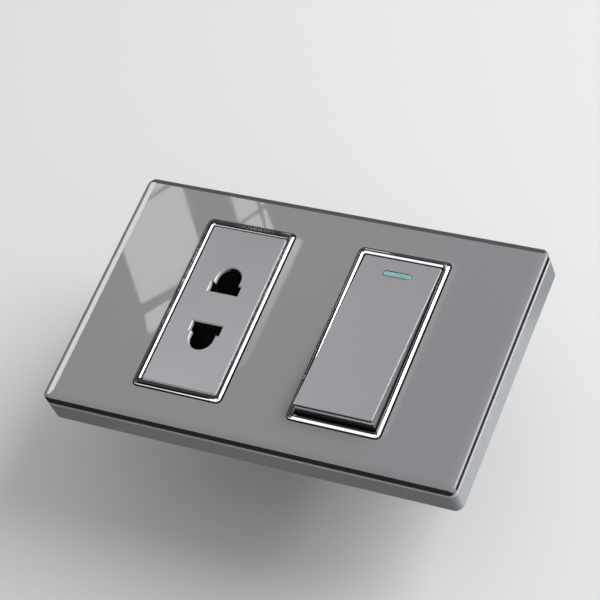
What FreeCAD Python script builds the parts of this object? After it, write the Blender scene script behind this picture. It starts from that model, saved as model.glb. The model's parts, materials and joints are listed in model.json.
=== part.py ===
import FreeCAD, Part
import math
import os
import Sketcher

from FreeCAD import Placement, Rotation, Vector

# A wide wall plate with a two-pin outlet on the left and a rocker switch on the right.
# The origin is the middle of the wall plane. +X is right, +Z is up and the front faces -Y,
# so a height in this file is a distance out from the wall, and a negative one lies in the wall box.

doc = FreeCAD.newDocument("WallPlate")

SIZES = {
    # glass front and cover frame
    "plateWidth": 118.0,
    "plateHeight": 72.0,
    "plateCorner": 2.2,
    "glassThick": 2.0,
    "glassArris": 0.7,
    "windowArris": 0.2,
    "bondThick": 0.8,
    "bondInset": 1.6,
    "coverDepth": 7.0,
    "coverFront": 2.0,
    "coverWall": 1.6,
    "coverEdge": 0.4,
    "modulePitch": 45.0,
    # snap catches of the cover frame
    "catchInset": 24.0,
    "catchLength": 10.0,
    "catchReach": 0.9,
    "catchGap": 0.2,
    # trim rings
    "trimWidth": 25.8,
    "trimHeight": 52.6,
    "trimWall": 1.5,
    "trimCorner": 1.2,
    "trimProud": 0.7,
    "trimSlope": 0.5,
    "trimInnerSlope": 0.35,
    "trimGap": 0.2,
    "lugThick": 0.8,
    "lugLength": 5.0,
    "lugInset": 10.3,
    "lugDepth": 0.9,
    "lugGap": 0.15,
    # mounting frame and steel strap
    "mountGap": 0.4,
    "mountThick": 1.8,
    "rimWall": 1.4,
    "ribWall": 1.2,
    "screwPitch": 83.5,
    "slotWidth": 4.2,
    "slotLength": 8.0,
    "headHole": 9.0,
    "strapThick": 1.0,
    "strapInsetX": 2.5,
    "strapInsetZ": 3.0,
    "strapRoomX": 1.2,
    "strapRoomZ": 0.5,
    "stakeRadius": 1.5,
    "stakeHeadRadius": 2.2,
    "stakeHeadThick": 0.6,
    "stakeInsetX": 3.5,
    "stakeInsetZ": 7.0,
    "stakeGap": 0.05,
    # housings of both modules
    "backWall": 1.4,
    "bodyCorner": 1.0,
    "bodyGap": 0.4,
    "flangeSideX": 1.3,
    "flangeSideZ": 1.4,
    "flangeThick": 1.2,
    "flangeGap": 0.2,
    "endWall": 1.3,
    "hookWidth": 8.0,
    "hookReach": 1.0,
    "hookLength": 2.4,
    "hookGap": 0.1,
    "coreInnerWall": 1.3,
    "coreOuterWall": 1.3,
    "coreLow": 1.0,
    "coreHigh": 16.5,
    "coreFloor": 1.4,
    # terminals
    "stripBack": 10.0,
    "stripThick": 0.8,
    "stripHalf": 2.5,
    "stripInset": 1.0,
    "terminalHalf": 3.5,
    "terminalStart": 0.6,
    "terminalEnd": 2.5,
    "terminalDepth": 7.0,
    "terminalGap": 0.2,
    "wireBore": 1.6,
    "wireHole": 1.8,
    "wireFunnel": 0.6,
    "clampRadius": 1.7,
    "clampGap": 0.06,
    "clampEngage": 1.6,
    "clampHeadRadius": 2.6,
    "clampHeadGap": 0.3,
    "clampHeadThick": 1.6,
    "clampAccess": 3.0,
    "clampSlotWidth": 0.8,
    "clampSlotDepth": 0.7,
    # outlet face and its apertures
    "faceGapX": 0.4,
    "faceGapZ": 0.3,
    "faceCorner": 0.7,
    "faceProud": 0.3,
    "facePlate": 2.0,
    "faceWall": 1.2,
    "faceEdge": 0.3,
    "slotHalf": 4.45,
    "slotInner": 4.8,
    "slotShoulder": 7.7,
    "archRadius": 3.55,
    "archCentre": 9.25,
    "apertureEdge": 0.25,
    "guideWall": 0.8,
    "guideGap": 0.3,
    "guideEndGap": 0.8,
    "postLow": 8.0,
    "postThick": 1.4,
    # long screws of the outlet
    "screwInsetX": 2.3,
    "screwInsetZ": 3.9,
    "screwRadius": 0.95,
    "screwPilot": 1.0,
    "screwHole": 1.2,
    "screwBoss": 1.75,
    "screwHeadRadius": 1.6,
    "screwHeadHole": 1.75,
    "screwHeadThick": 1.4,
    "screwSeat": 6.0,
    "screwEnd": 0.7,
    # shutter and its spring
    "shutterCover": 0.1,
    "shutterRoom": 0.3,
    "wedgeCover": 0.45,
    "wedgeLip": 0.5,
    "wedgeBottom": 0.4,
    "railWall": 1.0,
    "cavityRoom": 0.4,
    "lugClear": 0.4,
    "lugTall": 1.5,
    "shutterSpringRadius": 0.9,
    "shutterWire": 0.18,
    "shutterTurns": 5.0,
    "springEndGap": 0.05,
    "springInset": 1.1,
    # outlet contacts
    "contactThick": 0.8,
    "contactTop": 0.6,
    "contactSlit": 1.2,
    "contactRoom": 0.45,
    "contactEnd": 0.8,
    "contactLap": 0.4,
    "contactWall": 3.0,
    "contactFloor": 1.0,
    # rocker
    "rockerGapX": 0.45,
    "rockerGapZ": 0.6,
    "rockerCorner": 0.5,
    "rockerProud": 2.0,
    "rockerReach": 5.0,
    "rockerPlate": 1.6,
    "rockerWall": 1.2,
    "rockerSkirt": 4.6,
    "rockerEdge": 0.25,
    "rockerTilt": 4.0,
    "padHalf": 1.3,
    "padInsetX": 1.8,
    "padInsetZ": 3.5,
    "lensLength": 8.1,
    "lensHeight": 1.75,
    "lensInset": 4.6,
    "lensDepth": 0.7,
    "lensGap": 0.03,
    # inner rocker, its pivot and the plunger
    "carrierInset": 7.2,
    "carrierPlate": 1.4,
    "carrierTop": 2.2,
    "carrierRib": 1.0,
    "cheekThick": 1.5,
    "cheekGap": 0.4,
    "cheekHalf": 2.0,
    "cheekBottom": 1.6,
    "pivotPin": 1.5,
    "pivotGap": 0.06,
    "pinInset": 0.2,
    "earThick": 1.4,
    "earRoom": 0.55,
    "earHalf": 3.0,
    "tubeRadius": 3.0,
    "tubeBore": 2.0,
    "tubeBottom": 7.0,
    "tubeTop": 1.0,
    "plungerRadius": 1.93,
    "plungerTop": 3.5,
    "plungerCone": 1.2,
    "plungerNose": 1.6,
    "plungerGap": 0.15,
    "plungerTip": 1.2,
    "plungerSpringRadius": 1.45,
    "plungerWire": 0.22,
    "plungerTurns": 3.0,
    # seesaw contact of the switch
    "tiltRatio": 1.5,
    "seesawStand": 3.0,
    "seesawRise": 0.85,
    "seesawThick": 0.8,
    "seesawHalf": 3.0,
    "seesawMargin": 0.4,
    "seesawDown": 7.5,
    "ridgeRadius": 0.95,
    "ridgeGap": 0.05,
    "cradleHalf": 1.8,
    "cradleTop": 0.3,
    "tipRadius": 1.6,
    "tipPlace": 9.0,
    "tipThick": 0.8,
    "tipEdge": 0.3,
    "tipGap": 0.15,
    "chamberHalf": 5.5,
    "pocketHalf": 4.0,
}

sheet = doc.addObject("Spreadsheet::Sheet", "Sizes")
for row, (alias, number) in enumerate(SIZES.items(), start=1):
    sheet.set(f"A{row}", str(number))
    sheet.setAlias(f"A{row}", alias)
doc.recompute()


class Size:
    # a length or angle worked out from the sheet: its expression, and its value for a first drawing
    def __init__(self, text, value):
        self.text = text
        self.value = value

    def __add__(self, other):
        other = as_size(other)
        return Size(f"({self.text} + {other.text})", self.value + other.value)

    def __sub__(self, other):
        other = as_size(other)
        return Size(f"({self.text} - {other.text})", self.value - other.value)

    def __mul__(self, other):
        other = as_size(other)
        return Size(f"({self.text} * {other.text})", self.value * other.value)

    def __truediv__(self, other):
        other = as_size(other)
        return Size(f"({self.text} / {other.text})", self.value / other.value)

    def __neg__(self):
        return Size(f"(-1 * {self.text})", -self.value)


def as_size(number):
    return number if isinstance(number, Size) else Size(f"({float(number)})", float(number))


def sine(angle):
    return Size(f"sin({angle.text} * 1 deg)", math.sin(math.radians(angle.value)))


def cosine(angle):
    return Size(f"cos({angle.text} * 1 deg)", math.cos(math.radians(angle.value)))


class Sheet:
    # the sheet's aliases as attributes
    def __getattr__(self, alias):
        return Size(f"Sizes.{alias}", SIZES[alias])


s = Sheet()

# heights out from the wall plane that several pieces share
bond_top = s.coverDepth + s.bondThick
glass_top = bond_top + s.glassThick
trim_top = glass_top + s.trimProud
cover_inner = s.coverDepth - s.coverFront
flange_top = cover_inner - s.flangeGap
mount_top = flange_top - s.flangeThick
mount_back = mount_top - s.mountThick
strap_back = mount_back - s.strapThick
stake_back = strap_back - s.stakeHeadThick
face_top = glass_top + s.faceProud
face_inner = face_top - s.facePlate
rail_top = face_inner - s.shutterRoom
rail_back = flange_top + s.shutterRoom
screw_reach = face_inner - s.screwEnd
strip_front = s.stripThick - s.stripBack
pocket_floor = -(s.stripBack + s.terminalDepth + s.terminalGap)
body_back = pocket_floor - s.backWall
clamp_height = -(s.stripBack + s.terminalDepth / 2)
rocker_pivot = glass_top + s.rockerProud - s.rockerReach
seesaw_pivot = s.seesawStand - s.stripBack

# outlines that fit into each other, from the outside in
mount_width = s.plateWidth - (s.coverWall + s.mountGap) * 2
mount_height = s.plateHeight - (s.coverWall + s.mountGap) * 2
strap_width = mount_width - s.strapInsetX * 2
strap_height = mount_height - s.strapInsetZ * 2
stake_x = strap_width / 2 - s.stakeInsetX
stake_z = strap_height / 2 - s.stakeInsetZ
module_x = s.modulePitch / 2
ring_width = s.trimWidth - s.trimWall * 2
ring_height = s.trimHeight - s.trimWall * 2
lug_x = (s.trimWidth - s.trimWall) / 2
lug_z = s.trimHeight / 2 - s.lugInset
face_width = ring_width - s.faceGapX * 2
face_height = ring_height - s.faceGapZ * 2
rocker_width = ring_width - s.rockerGapX * 2
rocker_height = ring_height - s.rockerGapZ * 2
face_wall_x = face_width / 2 - s.faceWall
face_wall_z = face_height / 2 - s.faceWall

# places in the outlet and along the terminals
aperture_top = s.archCentre + s.archRadius
aperture_low = s.slotInner - s.shutterCover
aperture_high = aperture_top + s.shutterCover
wedge_half = s.slotHalf + s.wedgeCover
rail_end = aperture_high + s.railWall
cavity_half = wedge_half + s.cavityRoom
contact_half = s.slotHalf + s.contactThick + s.contactRoom
core_inner = contact_half + s.coreInnerWall
core_outer = face_width / 2 - s.coreOuterWall
lug_reach = face_wall_x - s.lugClear
screw_x = face_width / 2 - s.screwInsetX
screw_z = face_height / 2 - s.screwInsetZ
chamber_end = aperture_top + s.contactThick + s.contactEnd
terminal_low = chamber_end + s.terminalStart
terminal_high = face_height / 2 - s.terminalEnd
strip_end = terminal_high - s.stripInset
wire_z = (terminal_low + terminal_high) / 2

# places in the switch
ear_outer = rocker_width / 2 - s.rockerWall - s.earRoom
ear_inner = ear_outer - s.earThick
cheek_outer = ear_inner - s.cheekGap
pin_reach = ear_outer - s.pinInset
carrier_half = rocker_height / 2 - s.carrierInset
pad_x = cheek_outer - s.padInsetX
pad_z = carrier_half - s.padInsetZ
plunger_length = rocker_pivot - seesaw_pivot - s.seesawRise - s.seesawThick - s.plungerGap
tip_reach = s.tipRadius + s.seesawMargin

pockets = []
pads = []
sub_parts = []


def bind(item, path, size):
    item.setExpression(path, as_size(size).text)


def new_body(label, x=0, height=0, up=0, axis=None, angle=None):
    body = doc.addObject("PartDesign::Body", label)
    body.Label = label
    if axis:
        body.Placement = Placement(Vector(), Rotation(axis, as_size(angle).value))
        bind(body, "Placement.Rotation.Angle", angle)
    bind(body, "Placement.Base.x", x)
    bind(body, "Placement.Base.y", -as_size(height))
    bind(body, "Placement.Base.z", up)
    sub_parts.append(body)
    return body


def origin_plane(body, role):
    return next(f for f in body.Origin.OriginFeatures if f.Role == role)


def new_sketch(body, name, role, level):
    sketch = body.newObject("Sketcher::SketchObject", name)
    sketch.AttachmentSupport = [(origin_plane(body, role), "")]
    sketch.MapMode = "FlatFace"
    bind(sketch, "AttachmentOffset.Base.z", level)
    return sketch


def fix_distance(sketch, kind, geometry, corner, size):
    # ties one coordinate of a point to the sketch's origin
    size = as_size(size)
    axis = {"DistanceX": -2, "DistanceY": -1}[kind]
    if size.text == as_size(0).text:
        sketch.addConstraint(Sketcher.Constraint("PointOnObject", geometry, corner, axis))
        return
    index = sketch.addConstraint(Sketcher.Constraint(kind, -1, 1, geometry, corner, size.value))
    sketch.setExpression(f"Constraints[{index}]", size.text)


def draw_outline(sketch, points, arcs=None):
    # a closed outline through points, with arcs given as {segment: (centre x, centre y, fixed axis)}
    arcs = arcs or {}
    points = [(as_size(x), as_size(y)) for x, y in points]
    segments = []
    for i, (x, y) in enumerate(points):
        x2, y2 = points[(i + 1) % len(points)]
        start, end = Vector(x.value, y.value), Vector(x2.value, y2.value)
        if i in arcs:
            centre_x, centre_y, _ = arcs[i]
            centre = Vector(as_size(centre_x).value, as_size(centre_y).value)
            first, last = [math.atan2(p.y - centre.y, p.x - centre.x) for p in (start, end)]
            last += 2 * math.pi if last < first else 0
            circle = Part.Circle(centre, Vector(0, 0, 1), (start - centre).Length)
            segments.append(sketch.addGeometry(Part.ArcOfCircle(circle, first, last), False))
        else:
            segments.append(sketch.addGeometry(Part.LineSegment(start, end), False))
    for i, segment in enumerate(segments):
        following = segments[(i + 1) % len(segments)]
        sketch.addConstraint(Sketcher.Constraint("Coincident", segment, 2, following, 1))
    for i, segment in enumerate(segments):
        fix_distance(sketch, "DistanceX", segment, 1, points[i][0])
        fix_distance(sketch, "DistanceY", segment, 1, points[i][1])
        if i in arcs:
            centre_x, centre_y, fixed = arcs[i]
            fix_distance(sketch, fixed, segment, 3, centre_x if fixed == "DistanceX" else centre_y)


def draw_circle(sketch, radius, x=0, y=0):
    circle = Part.Circle(Vector(as_size(x).value, as_size(y).value), Vector(0, 0, 1), radius.value)
    geometry = sketch.addGeometry(circle, False)
    index = sketch.addConstraint(Sketcher.Constraint("Radius", geometry, radius.value))
    sketch.setExpression(f"Constraints[{index}]", radius.text)
    fix_distance(sketch, "DistanceX", geometry, 3, x)
    fix_distance(sketch, "DistanceY", geometry, 3, y)


def box(x_low, x_high, z_low, z_high):
    return [(x_low, z_low), (x_high, z_low), (x_high, z_high), (x_low, z_high)], {}


def centred(width, height, x=0, z=0):
    x, z = as_size(x), as_size(z)
    return box(x - width / 2, x + width / 2, z - height / 2, z + height / 2)


def rounded(width, height, radius, x=0, z=0):
    x, z = as_size(x), as_size(z)
    left, right = x - width / 2, x + width / 2
    low, high = z - height / 2, z + height / 2
    points = [
        (left + radius, low), (right - radius, low), (right, low + radius), (right, high - radius),
        (right - radius, high), (left + radius, high), (left, high - radius), (left, low + radius),
    ]
    arcs = {
        1: (right - radius, low + radius, "DistanceX"),
        3: (right - radius, high - radius, "DistanceX"),
        5: (left + radius, high - radius, "DistanceX"),
        7: (left + radius, low + radius, "DistanceX"),
    }
    return points, arcs


def slot(length, radius, x=0, z=0):
    # a slot along X with round ends
    x, z = as_size(x), as_size(z)
    reach = length / 2 - radius
    low, high = z - radius, z + radius
    points = [(x - reach, low), (x + reach, low), (x + reach, high), (x - reach, high)]
    return points, {1: (x + reach, z, "DistanceX"), 3: (x - reach, z, "DistanceX")}


def aperture(grow, side=1):
    # one aperture's outline: a flat-blade slot with an arch for the round pin, grown on all sides
    wide, narrow = s.slotHalf + grow, s.archRadius + grow
    inner, shoulder, centre = s.slotInner - grow, s.slotShoulder + grow, s.archCentre
    if side > 0:
        points = [
            (-wide, inner), (wide, inner), (wide, shoulder), (narrow, shoulder), (narrow, centre),
            (-narrow, centre), (-narrow, shoulder), (-wide, shoulder),
        ]
        return points, {4: (0, centre, "DistanceY")}
    points = [
        (wide, -inner), (-wide, -inner), (-wide, -shoulder), (-narrow, -shoulder), (-narrow, -centre),
        (narrow, -centre), (narrow, -shoulder), (wide, -shoulder),
    ]
    return points, {4: (0, -centre, "DistanceY")}


def at_side(points):
    # points given as (height, z), for a sketch that looks along X
    return [(-as_size(height), z) for height, z in points], {}


def pad(body, sketch, length, symmetric=False):
    feature = body.newObject("PartDesign::Pad", sketch.Name + "Pad")
    feature.Profile = sketch
    bind(feature, "Length", length)
    if symmetric:
        feature.SideType = "Symmetric"
    pads.append(feature)
    return feature


def pocket(body, sketch, length, outward=False, symmetric=False):
    feature = body.newObject("PartDesign::Pocket", sketch.Name + "Pocket")
    feature.Profile = sketch
    bind(feature, "Length", length)
    feature.Reversed = outward
    if symmetric:
        feature.SideType = "Symmetric"
    pockets.append(feature)
    return feature


def slab(body, name, outlines, back, front):
    # material between two heights
    sketch = new_sketch(body, name, "XZ_Plane", back)
    for points, arcs in outlines:
        draw_outline(sketch, points, arcs)
    return pad(body, sketch, as_size(front) - back)


def post(body, name, circles, back, front):
    # round material between two heights, for circles given as (radius, x, z)
    sketch = new_sketch(body, name, "XZ_Plane", back)
    for radius, x, z in circles:
        draw_circle(sketch, radius, x, z)
    return pad(body, sketch, as_size(front) - back)


def recess(body, name, outlines, back, front):
    # takes the material away between two heights, down from the front one
    sketch = new_sketch(body, name, "XZ_Plane", front)
    for points, arcs in outlines:
        draw_outline(sketch, points, arcs)
    return pocket(body, sketch, as_size(front) - back)


def drill(body, name, circles, back, front):
    sketch = new_sketch(body, name, "XZ_Plane", front)
    for radius, x, z in circles:
        draw_circle(sketch, radius, x, z)
    return pocket(body, sketch, as_size(front) - back)


def prism(body, name, outlines, half_width):
    # material along X, the same on both sides of the body's middle
    sketch = new_sketch(body, name, "YZ_Plane", 0)
    for points, arcs in outlines:
        draw_outline(sketch, points, arcs)
    return pad(body, sketch, half_width * 2, symmetric=True)


def bevel(body, name, test, size):
    doc.recompute()
    base = body.Tip
    edges = [f"Edge{i}" for i, edge in enumerate(base.Shape.Edges, start=1) if test(edge)]
    feature = body.newObject("PartDesign::Chamfer", name)
    feature.Base = (base, edges)
    bind(feature, "Size", size)
    return feature


def lies_at(edge, height):
    # true for an edge that lies in the plane at this height
    bounds = edge.BoundBox
    flat = abs(bounds.YMin + height.value) < 1e-4 and abs(bounds.YMax + height.value) < 1e-4
    return flat


def beyond(edge, half_width, half_height):
    # true for an edge that lies outside the middle rectangle of this size
    centre = edge.BoundBox.Center
    return abs(centre.x) > half_width.value or abs(centre.z) > half_height.value


def window_pair(width, height, corner):
    return [rounded(width, height, corner, module_x * side, 0) for side in (-1, 1)]


def make_glass_panel():
    body = new_body("glass_panel")
    slab(body, "Glass", [rounded(s.plateWidth, s.plateHeight, s.plateCorner)], bond_top, glass_top)
    width, height = s.trimWidth + s.trimGap * 2, s.trimHeight + s.trimGap * 2
    corner = s.trimCorner + s.trimGap
    recess(body, "Windows", window_pair(width, height, corner), bond_top, glass_top)
    edge_x, edge_z = s.plateWidth / 2 - s.plateCorner, s.plateHeight / 2 - s.plateCorner
    rim, windows = s.glassArris, s.windowArris
    bevel(body, "FrontArris", lambda e: lies_at(e, glass_top) and beyond(e, edge_x, edge_z), rim)
    bevel(body, "WindowArris", lambda e: lies_at(e, glass_top) and not beyond(e, edge_x, edge_z), windows)


def make_bonding_sheet():
    body = new_body("bonding_sheet")
    width, height = s.plateWidth - s.bondInset * 2, s.plateHeight - s.bondInset * 2
    slab(body, "Bond", [rounded(width, height, s.plateCorner)], s.coverDepth, bond_top)
    width, height = s.trimWidth + s.trimGap * 2, s.trimHeight + s.trimGap * 2
    recess(body, "Windows", window_pair(width, height, s.trimCorner + s.trimGap), s.coverDepth, bond_top)


def make_cover_frame():
    body = new_body("cover_frame")
    slab(body, "Outline", [rounded(s.plateWidth, s.plateHeight, s.plateCorner)], 0, s.coverDepth)
    inner_width, inner_height = s.plateWidth - s.coverWall * 2, s.plateHeight - s.coverWall * 2
    recess(body, "Hollow", [rounded(inner_width, inner_height, s.plateCorner / 2)], 0, cover_inner)
    width, height = s.trimWidth + s.trimGap * 2, s.trimHeight + s.trimGap * 2
    corner = s.trimCorner + s.trimGap
    recess(body, "Windows", window_pair(width, height, corner), cover_inner, s.coverDepth)
    # sloped catches on the long walls, which snap behind the mounting frame
    catch_top = mount_back - s.catchGap
    for name, side in (("Upper", 1), ("Lower", -1)):
        wall = inner_height / 2 * side
        reach = (inner_height / 2 - s.catchReach) * side
        for end_name, end in (("Left", -1), ("Right", 1)):
            sketch = new_sketch(body, f"Catch{name}{end_name}", "YZ_Plane", (s.plateWidth / 2 - s.catchInset) * end)
            points, arcs = at_side([(catch_top, wall), (catch_top, reach), (0, wall)])
            draw_outline(sketch, points, arcs)
            pad(body, sketch, s.catchLength, symmetric=True)
    edge_x, edge_z = s.plateWidth / 2 - s.plateCorner, s.plateHeight / 2 - s.plateCorner
    bevel(body, "FrontEdge", lambda e: lies_at(e, s.coverDepth) and beyond(e, edge_x, edge_z), s.coverEdge)


def make_mounting_frame():
    body = new_body("mounting_frame")
    slab(body, "Plate", [rounded(mount_width, mount_height, s.plateCorner / 2)], mount_back, cover_inner)
    # the rim carries the cover frame, with a well on each side of a bar between the modules
    inner_width, inner_height = mount_width - s.rimWall * 2, mount_height - s.rimWall * 2
    well_inner = s.ribWall / 2
    wells = [
        box(well_inner, inner_width / 2, -inner_height / 2, inner_height / 2),
        box(-inner_width / 2, -well_inner, -inner_height / 2, inner_height / 2),
    ]
    recess(body, "Wells", wells, mount_top, cover_inner)
    width, height = face_width + s.bodyGap * 2, face_height + s.bodyGap * 2
    recess(body, "ModuleWindows", window_pair(width, height, s.bodyCorner), mount_back, mount_top)
    # heads of the wall-box screws pass through and land on the strap
    heads = [(s.headHole / 2, s.screwPitch / 2 * side, 0) for side in (-1, 1)]
    drill(body, "HeadHoles", heads, mount_back, mount_top)
    stakes = [(stake_x * x, stake_z * z) for x in (-1, 1) for z in (-1, 1)]
    post(body, "Stakes", [(s.stakeRadius, x, z) for x, z in stakes], strap_back, mount_back)
    post(body, "StakeHeads", [(s.stakeHeadRadius, x, z) for x, z in stakes], stake_back, strap_back)


def make_steel_strap():
    body = new_body("steel_strap")
    slab(body, "Strap", [rounded(strap_width, strap_height, s.plateCorner)], strap_back, mount_back)
    width = face_width + s.strapRoomX * 2
    height = face_height + (s.hookReach + s.strapRoomZ) * 2
    windows = window_pair(width, height, s.bodyCorner)
    recess(body, "StrapWindows", windows, strap_back, mount_back)
    slots = [slot(s.slotLength, s.slotWidth / 2, s.screwPitch / 2 * side, 0) for side in (-1, 1)]
    recess(body, "ScrewSlots", slots, strap_back, mount_back)
    radius = s.stakeRadius + s.stakeGap
    stakes = [(radius, stake_x * x, stake_z * z) for x in (-1, 1) for z in (-1, 1)]
    drill(body, "StakeHoles", stakes, strap_back, mount_back)


def make_trim(label, side):
    body = new_body(label, x=module_x * side)
    slab(body, "Ring", [rounded(s.trimWidth, s.trimHeight, s.trimCorner)], flange_top, trim_top)
    recess(body, "Opening", [rounded(ring_width, ring_height, s.trimCorner / 2)], flange_top, trim_top)
    middle_x, middle_z = (s.trimWidth - s.trimWall) / 2, (s.trimHeight - s.trimWall) / 2
    lugs = [centred(s.lugThick, s.lugLength, lug_x * x, lug_z * z) for x in (-1, 1) for z in (-1, 1)]
    slab(body, "Lugs", lugs, flange_top - s.lugDepth, flange_top)
    bevel(body, "OuterSlope", lambda e: lies_at(e, trim_top) and beyond(e, middle_x, middle_z), s.trimSlope)
    inner = s.trimInnerSlope
    bevel(body, "InnerSlope", lambda e: lies_at(e, trim_top) and not beyond(e, middle_x, middle_z), inner)


def make_housing(label, side):
    # the outer form that both modules share: flange, hooks, terminal pockets, wire and screw holes
    body = new_body(label, x=module_x * side)
    slab(body, "Block", [rounded(face_width, face_height, s.bodyCorner)], body_back, flange_top)
    width, height = s.trimWidth + s.flangeSideX * 2, s.trimHeight + s.flangeSideZ * 2
    flange = [rounded(width, height, s.bodyCorner)]
    slab(body, "Flange", flange, mount_top, flange_top)
    # hooks on both short ends, which catch behind the mounting frame
    catch, end = mount_back - s.hookGap, face_height / 2
    for name, up in (("HookUpper", 1), ("HookLower", -1)):
        tip = (end + s.hookReach) * up
        hook = at_side([(catch, end * up), (catch, tip), (catch - s.hookLength, end * up)])
        prism(body, name, [hook], s.hookWidth / 2)
    width, height = s.lugThick + s.lugGap * 2, s.lugLength + s.lugGap * 2
    lugs = [centred(width, height, lug_x * x, lug_z * z) for x in (-1, 1) for z in (-1, 1)]
    recess(body, "TrimSlots", lugs, mount_top, flange_top)
    # terminal pockets, open to the front
    pocket_end = face_height / 2 - s.endWall
    ends = [box(-s.pocketHalf, s.pocketHalf, chamber_end, pocket_end),
            box(-s.pocketHalf, s.pocketHalf, -pocket_end, -chamber_end)]
    recess(body, "TerminalPockets", ends, pocket_floor, flange_top)
    drill(body, "WireHoles", [(s.wireHole, 0, wire_z), (s.wireHole, 0, -wire_z)], body_back, pocket_floor)
    access = new_sketch(body, "ClampAccess", "XY_Plane", 0)
    draw_circle(access, s.clampAccess, 0, -clamp_height)
    pocket(body, access, face_height, symmetric=True)
    # moulded core-outs in the thick sides, open to the rear
    cores = new_sketch(body, "Cores", "XZ_Plane", body_back)
    for x in (-1, 1):
        for z in (-1, 1):
            middle = (core_inner + core_outer) / 2 * x
            points, arcs = centred(core_outer - core_inner, s.coreHigh - s.coreLow, middle,
                                   (s.coreLow + s.coreHigh) / 2 * z)
            draw_outline(cores, points, arcs)
    pocket(body, cores, -body_back - s.coreFloor, outward=True)
    return body


def make_outlet_housing():
    body = make_housing("outlet_housing", -1)
    pocket_end = face_height / 2 - s.endWall
    cavity = [box(-cavity_half, cavity_half, -pocket_end, pocket_end)]
    recess(body, "ShutterCavity", cavity, 0, flange_top)
    # one chamber for each contact, with a solid wall between them
    upper = box(-contact_half, contact_half, s.contactWall, chamber_end)
    lower = box(-contact_half, contact_half, -chamber_end, -s.contactWall)
    recess(body, "ContactChambers", [upper, lower], -(s.stripBack + s.contactFloor), 0)
    places = [(-screw_x, screw_z), (screw_x, -screw_z)]
    drill(body, "ScrewHoles", [(s.screwHole, x, z) for x, z in places], body_back, flange_top)
    drill(body, "ScrewHeads", [(s.screwHeadHole, x, z) for x, z in places], body_back, -s.screwSeat)
    bevel(body, "WireFunnels", lambda e: is_wire_mouth(e, body_back), s.wireFunnel)


def is_wire_mouth(edge, back):
    round_edge = edge.Curve.TypeId == "Part::GeomCircle"
    return lies_at(edge, back) and round_edge and abs(edge.Curve.Radius - s.wireHole.value) < 1e-4


def make_switch_housing():
    body = make_housing("switch_housing", 1)
    chamber = [box(-s.chamberHalf, s.chamberHalf, -chamber_end, chamber_end)]
    recess(body, "SeesawChamber", chamber, -s.stripBack, flange_top)
    # ears that carry the rocker's pins, round at the top
    for name, side in (("EarLeft", -1), ("EarRight", 1)):
        middle = (ear_inner + ear_outer) / 2 * side
        sketch = new_sketch(body, name, "YZ_Plane", middle)
        points = [(-flange_top, -s.earHalf), (-flange_top, s.earHalf), (-rocker_pivot, s.earHalf),
                  (-rocker_pivot, -s.earHalf)]
        draw_outline(sketch, points, {2: (-rocker_pivot, 0, "DistanceX")})
        pad(body, sketch, ear_outer - ear_inner, symmetric=True)
    bores = new_sketch(body, "PivotBores", "YZ_Plane", 0)
    draw_circle(bores, s.pivotPin + s.pivotGap, -rocker_pivot, 0)
    pocket(body, bores, face_width, symmetric=True)
    bevel(body, "WireFunnels", lambda e: is_wire_mouth(e, body_back), s.wireFunnel)


def make_outlet_face():
    body = new_body("outlet_face", x=-module_x)
    slab(body, "Face", [rounded(face_width, face_height, s.faceCorner)], flange_top, face_top)
    hollow = [centred(face_wall_x * 2, face_wall_z * 2)]
    recess(body, "FaceHollow", hollow, flange_top, face_inner)
    # guide ribs beside the shutter's rails, the spring's post, and the screw bosses
    rib_inner = wedge_half + s.railWall + s.guideGap
    rib_outer = rib_inner + s.guideWall
    post_high = s.postLow + s.postThick
    guide_end = face_wall_z - s.guideEndGap
    ribs = [
        box(-rib_outer, -rib_inner, -rail_end, guide_end),
        [[(rib_inner, s.postLow), (face_wall_x, s.postLow), (face_wall_x, post_high), (rib_outer, post_high),
          (rib_outer, guide_end), (rib_inner, guide_end)], {}],
    ]
    slab(body, "Guides", ribs, rail_back, face_inner)
    places = [(-screw_x, screw_z), (screw_x, -screw_z)]
    post(body, "Bosses", [(s.screwBoss, x, z) for x, z in places], flange_top, face_inner)
    sketch = new_sketch(body, "Pilots", "XZ_Plane", flange_top)
    for x, z in places:
        draw_circle(sketch, s.screwPilot, x, z)
    pocket(body, sketch, screw_reach + s.shutterRoom - flange_top, outward=True)
    recess(body, "Apertures", [aperture(as_size(0)), aperture(as_size(0), -1)], face_inner, face_top)
    inner_x, inner_z = face_width / 2 - s.faceCorner * 2, face_height / 2 - s.faceCorner * 2
    bevel(body, "FaceEdge", lambda e: lies_at(e, face_top) and beyond(e, inner_x, inner_z), s.faceEdge)
    mouth = s.apertureEdge
    bevel(body, "ApertureEdge", lambda e: lies_at(e, face_top) and not beyond(e, inner_x, inner_z), mouth)


def make_outlet_shutter():
    body = new_body("outlet_shutter", x=-module_x)
    half, end = wedge_half + s.railWall, rail_end
    # two rails joined by a bar at the top, with a lug for the spring at the bottom right
    lug_low = -end
    lug_high = lug_low + s.lugTall
    frame = [
        (-half, -end), (-wedge_half, -end), (-wedge_half, aperture_high),
        (wedge_half, aperture_high), (wedge_half, lug_low), (lug_reach, lug_low),
        (lug_reach, lug_high), (half, lug_high), (half, end), (-half, end),
    ]
    slab(body, "Rails", [(frame, {})], rail_back, rail_top)
    # one wedge behind each aperture: both pins together push the sloped faces upwards
    for name, low, high in (("WedgeUpper", aperture_low, aperture_high),
                            ("WedgeLower", -aperture_high, -aperture_low)):
        lip = s.wedgeBottom + s.wedgeLip
        wedge = at_side([(s.wedgeBottom, low), (lip, low), (rail_top, high), (s.wedgeBottom, high)])
        prism(body, name, [wedge], wedge_half)


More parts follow.
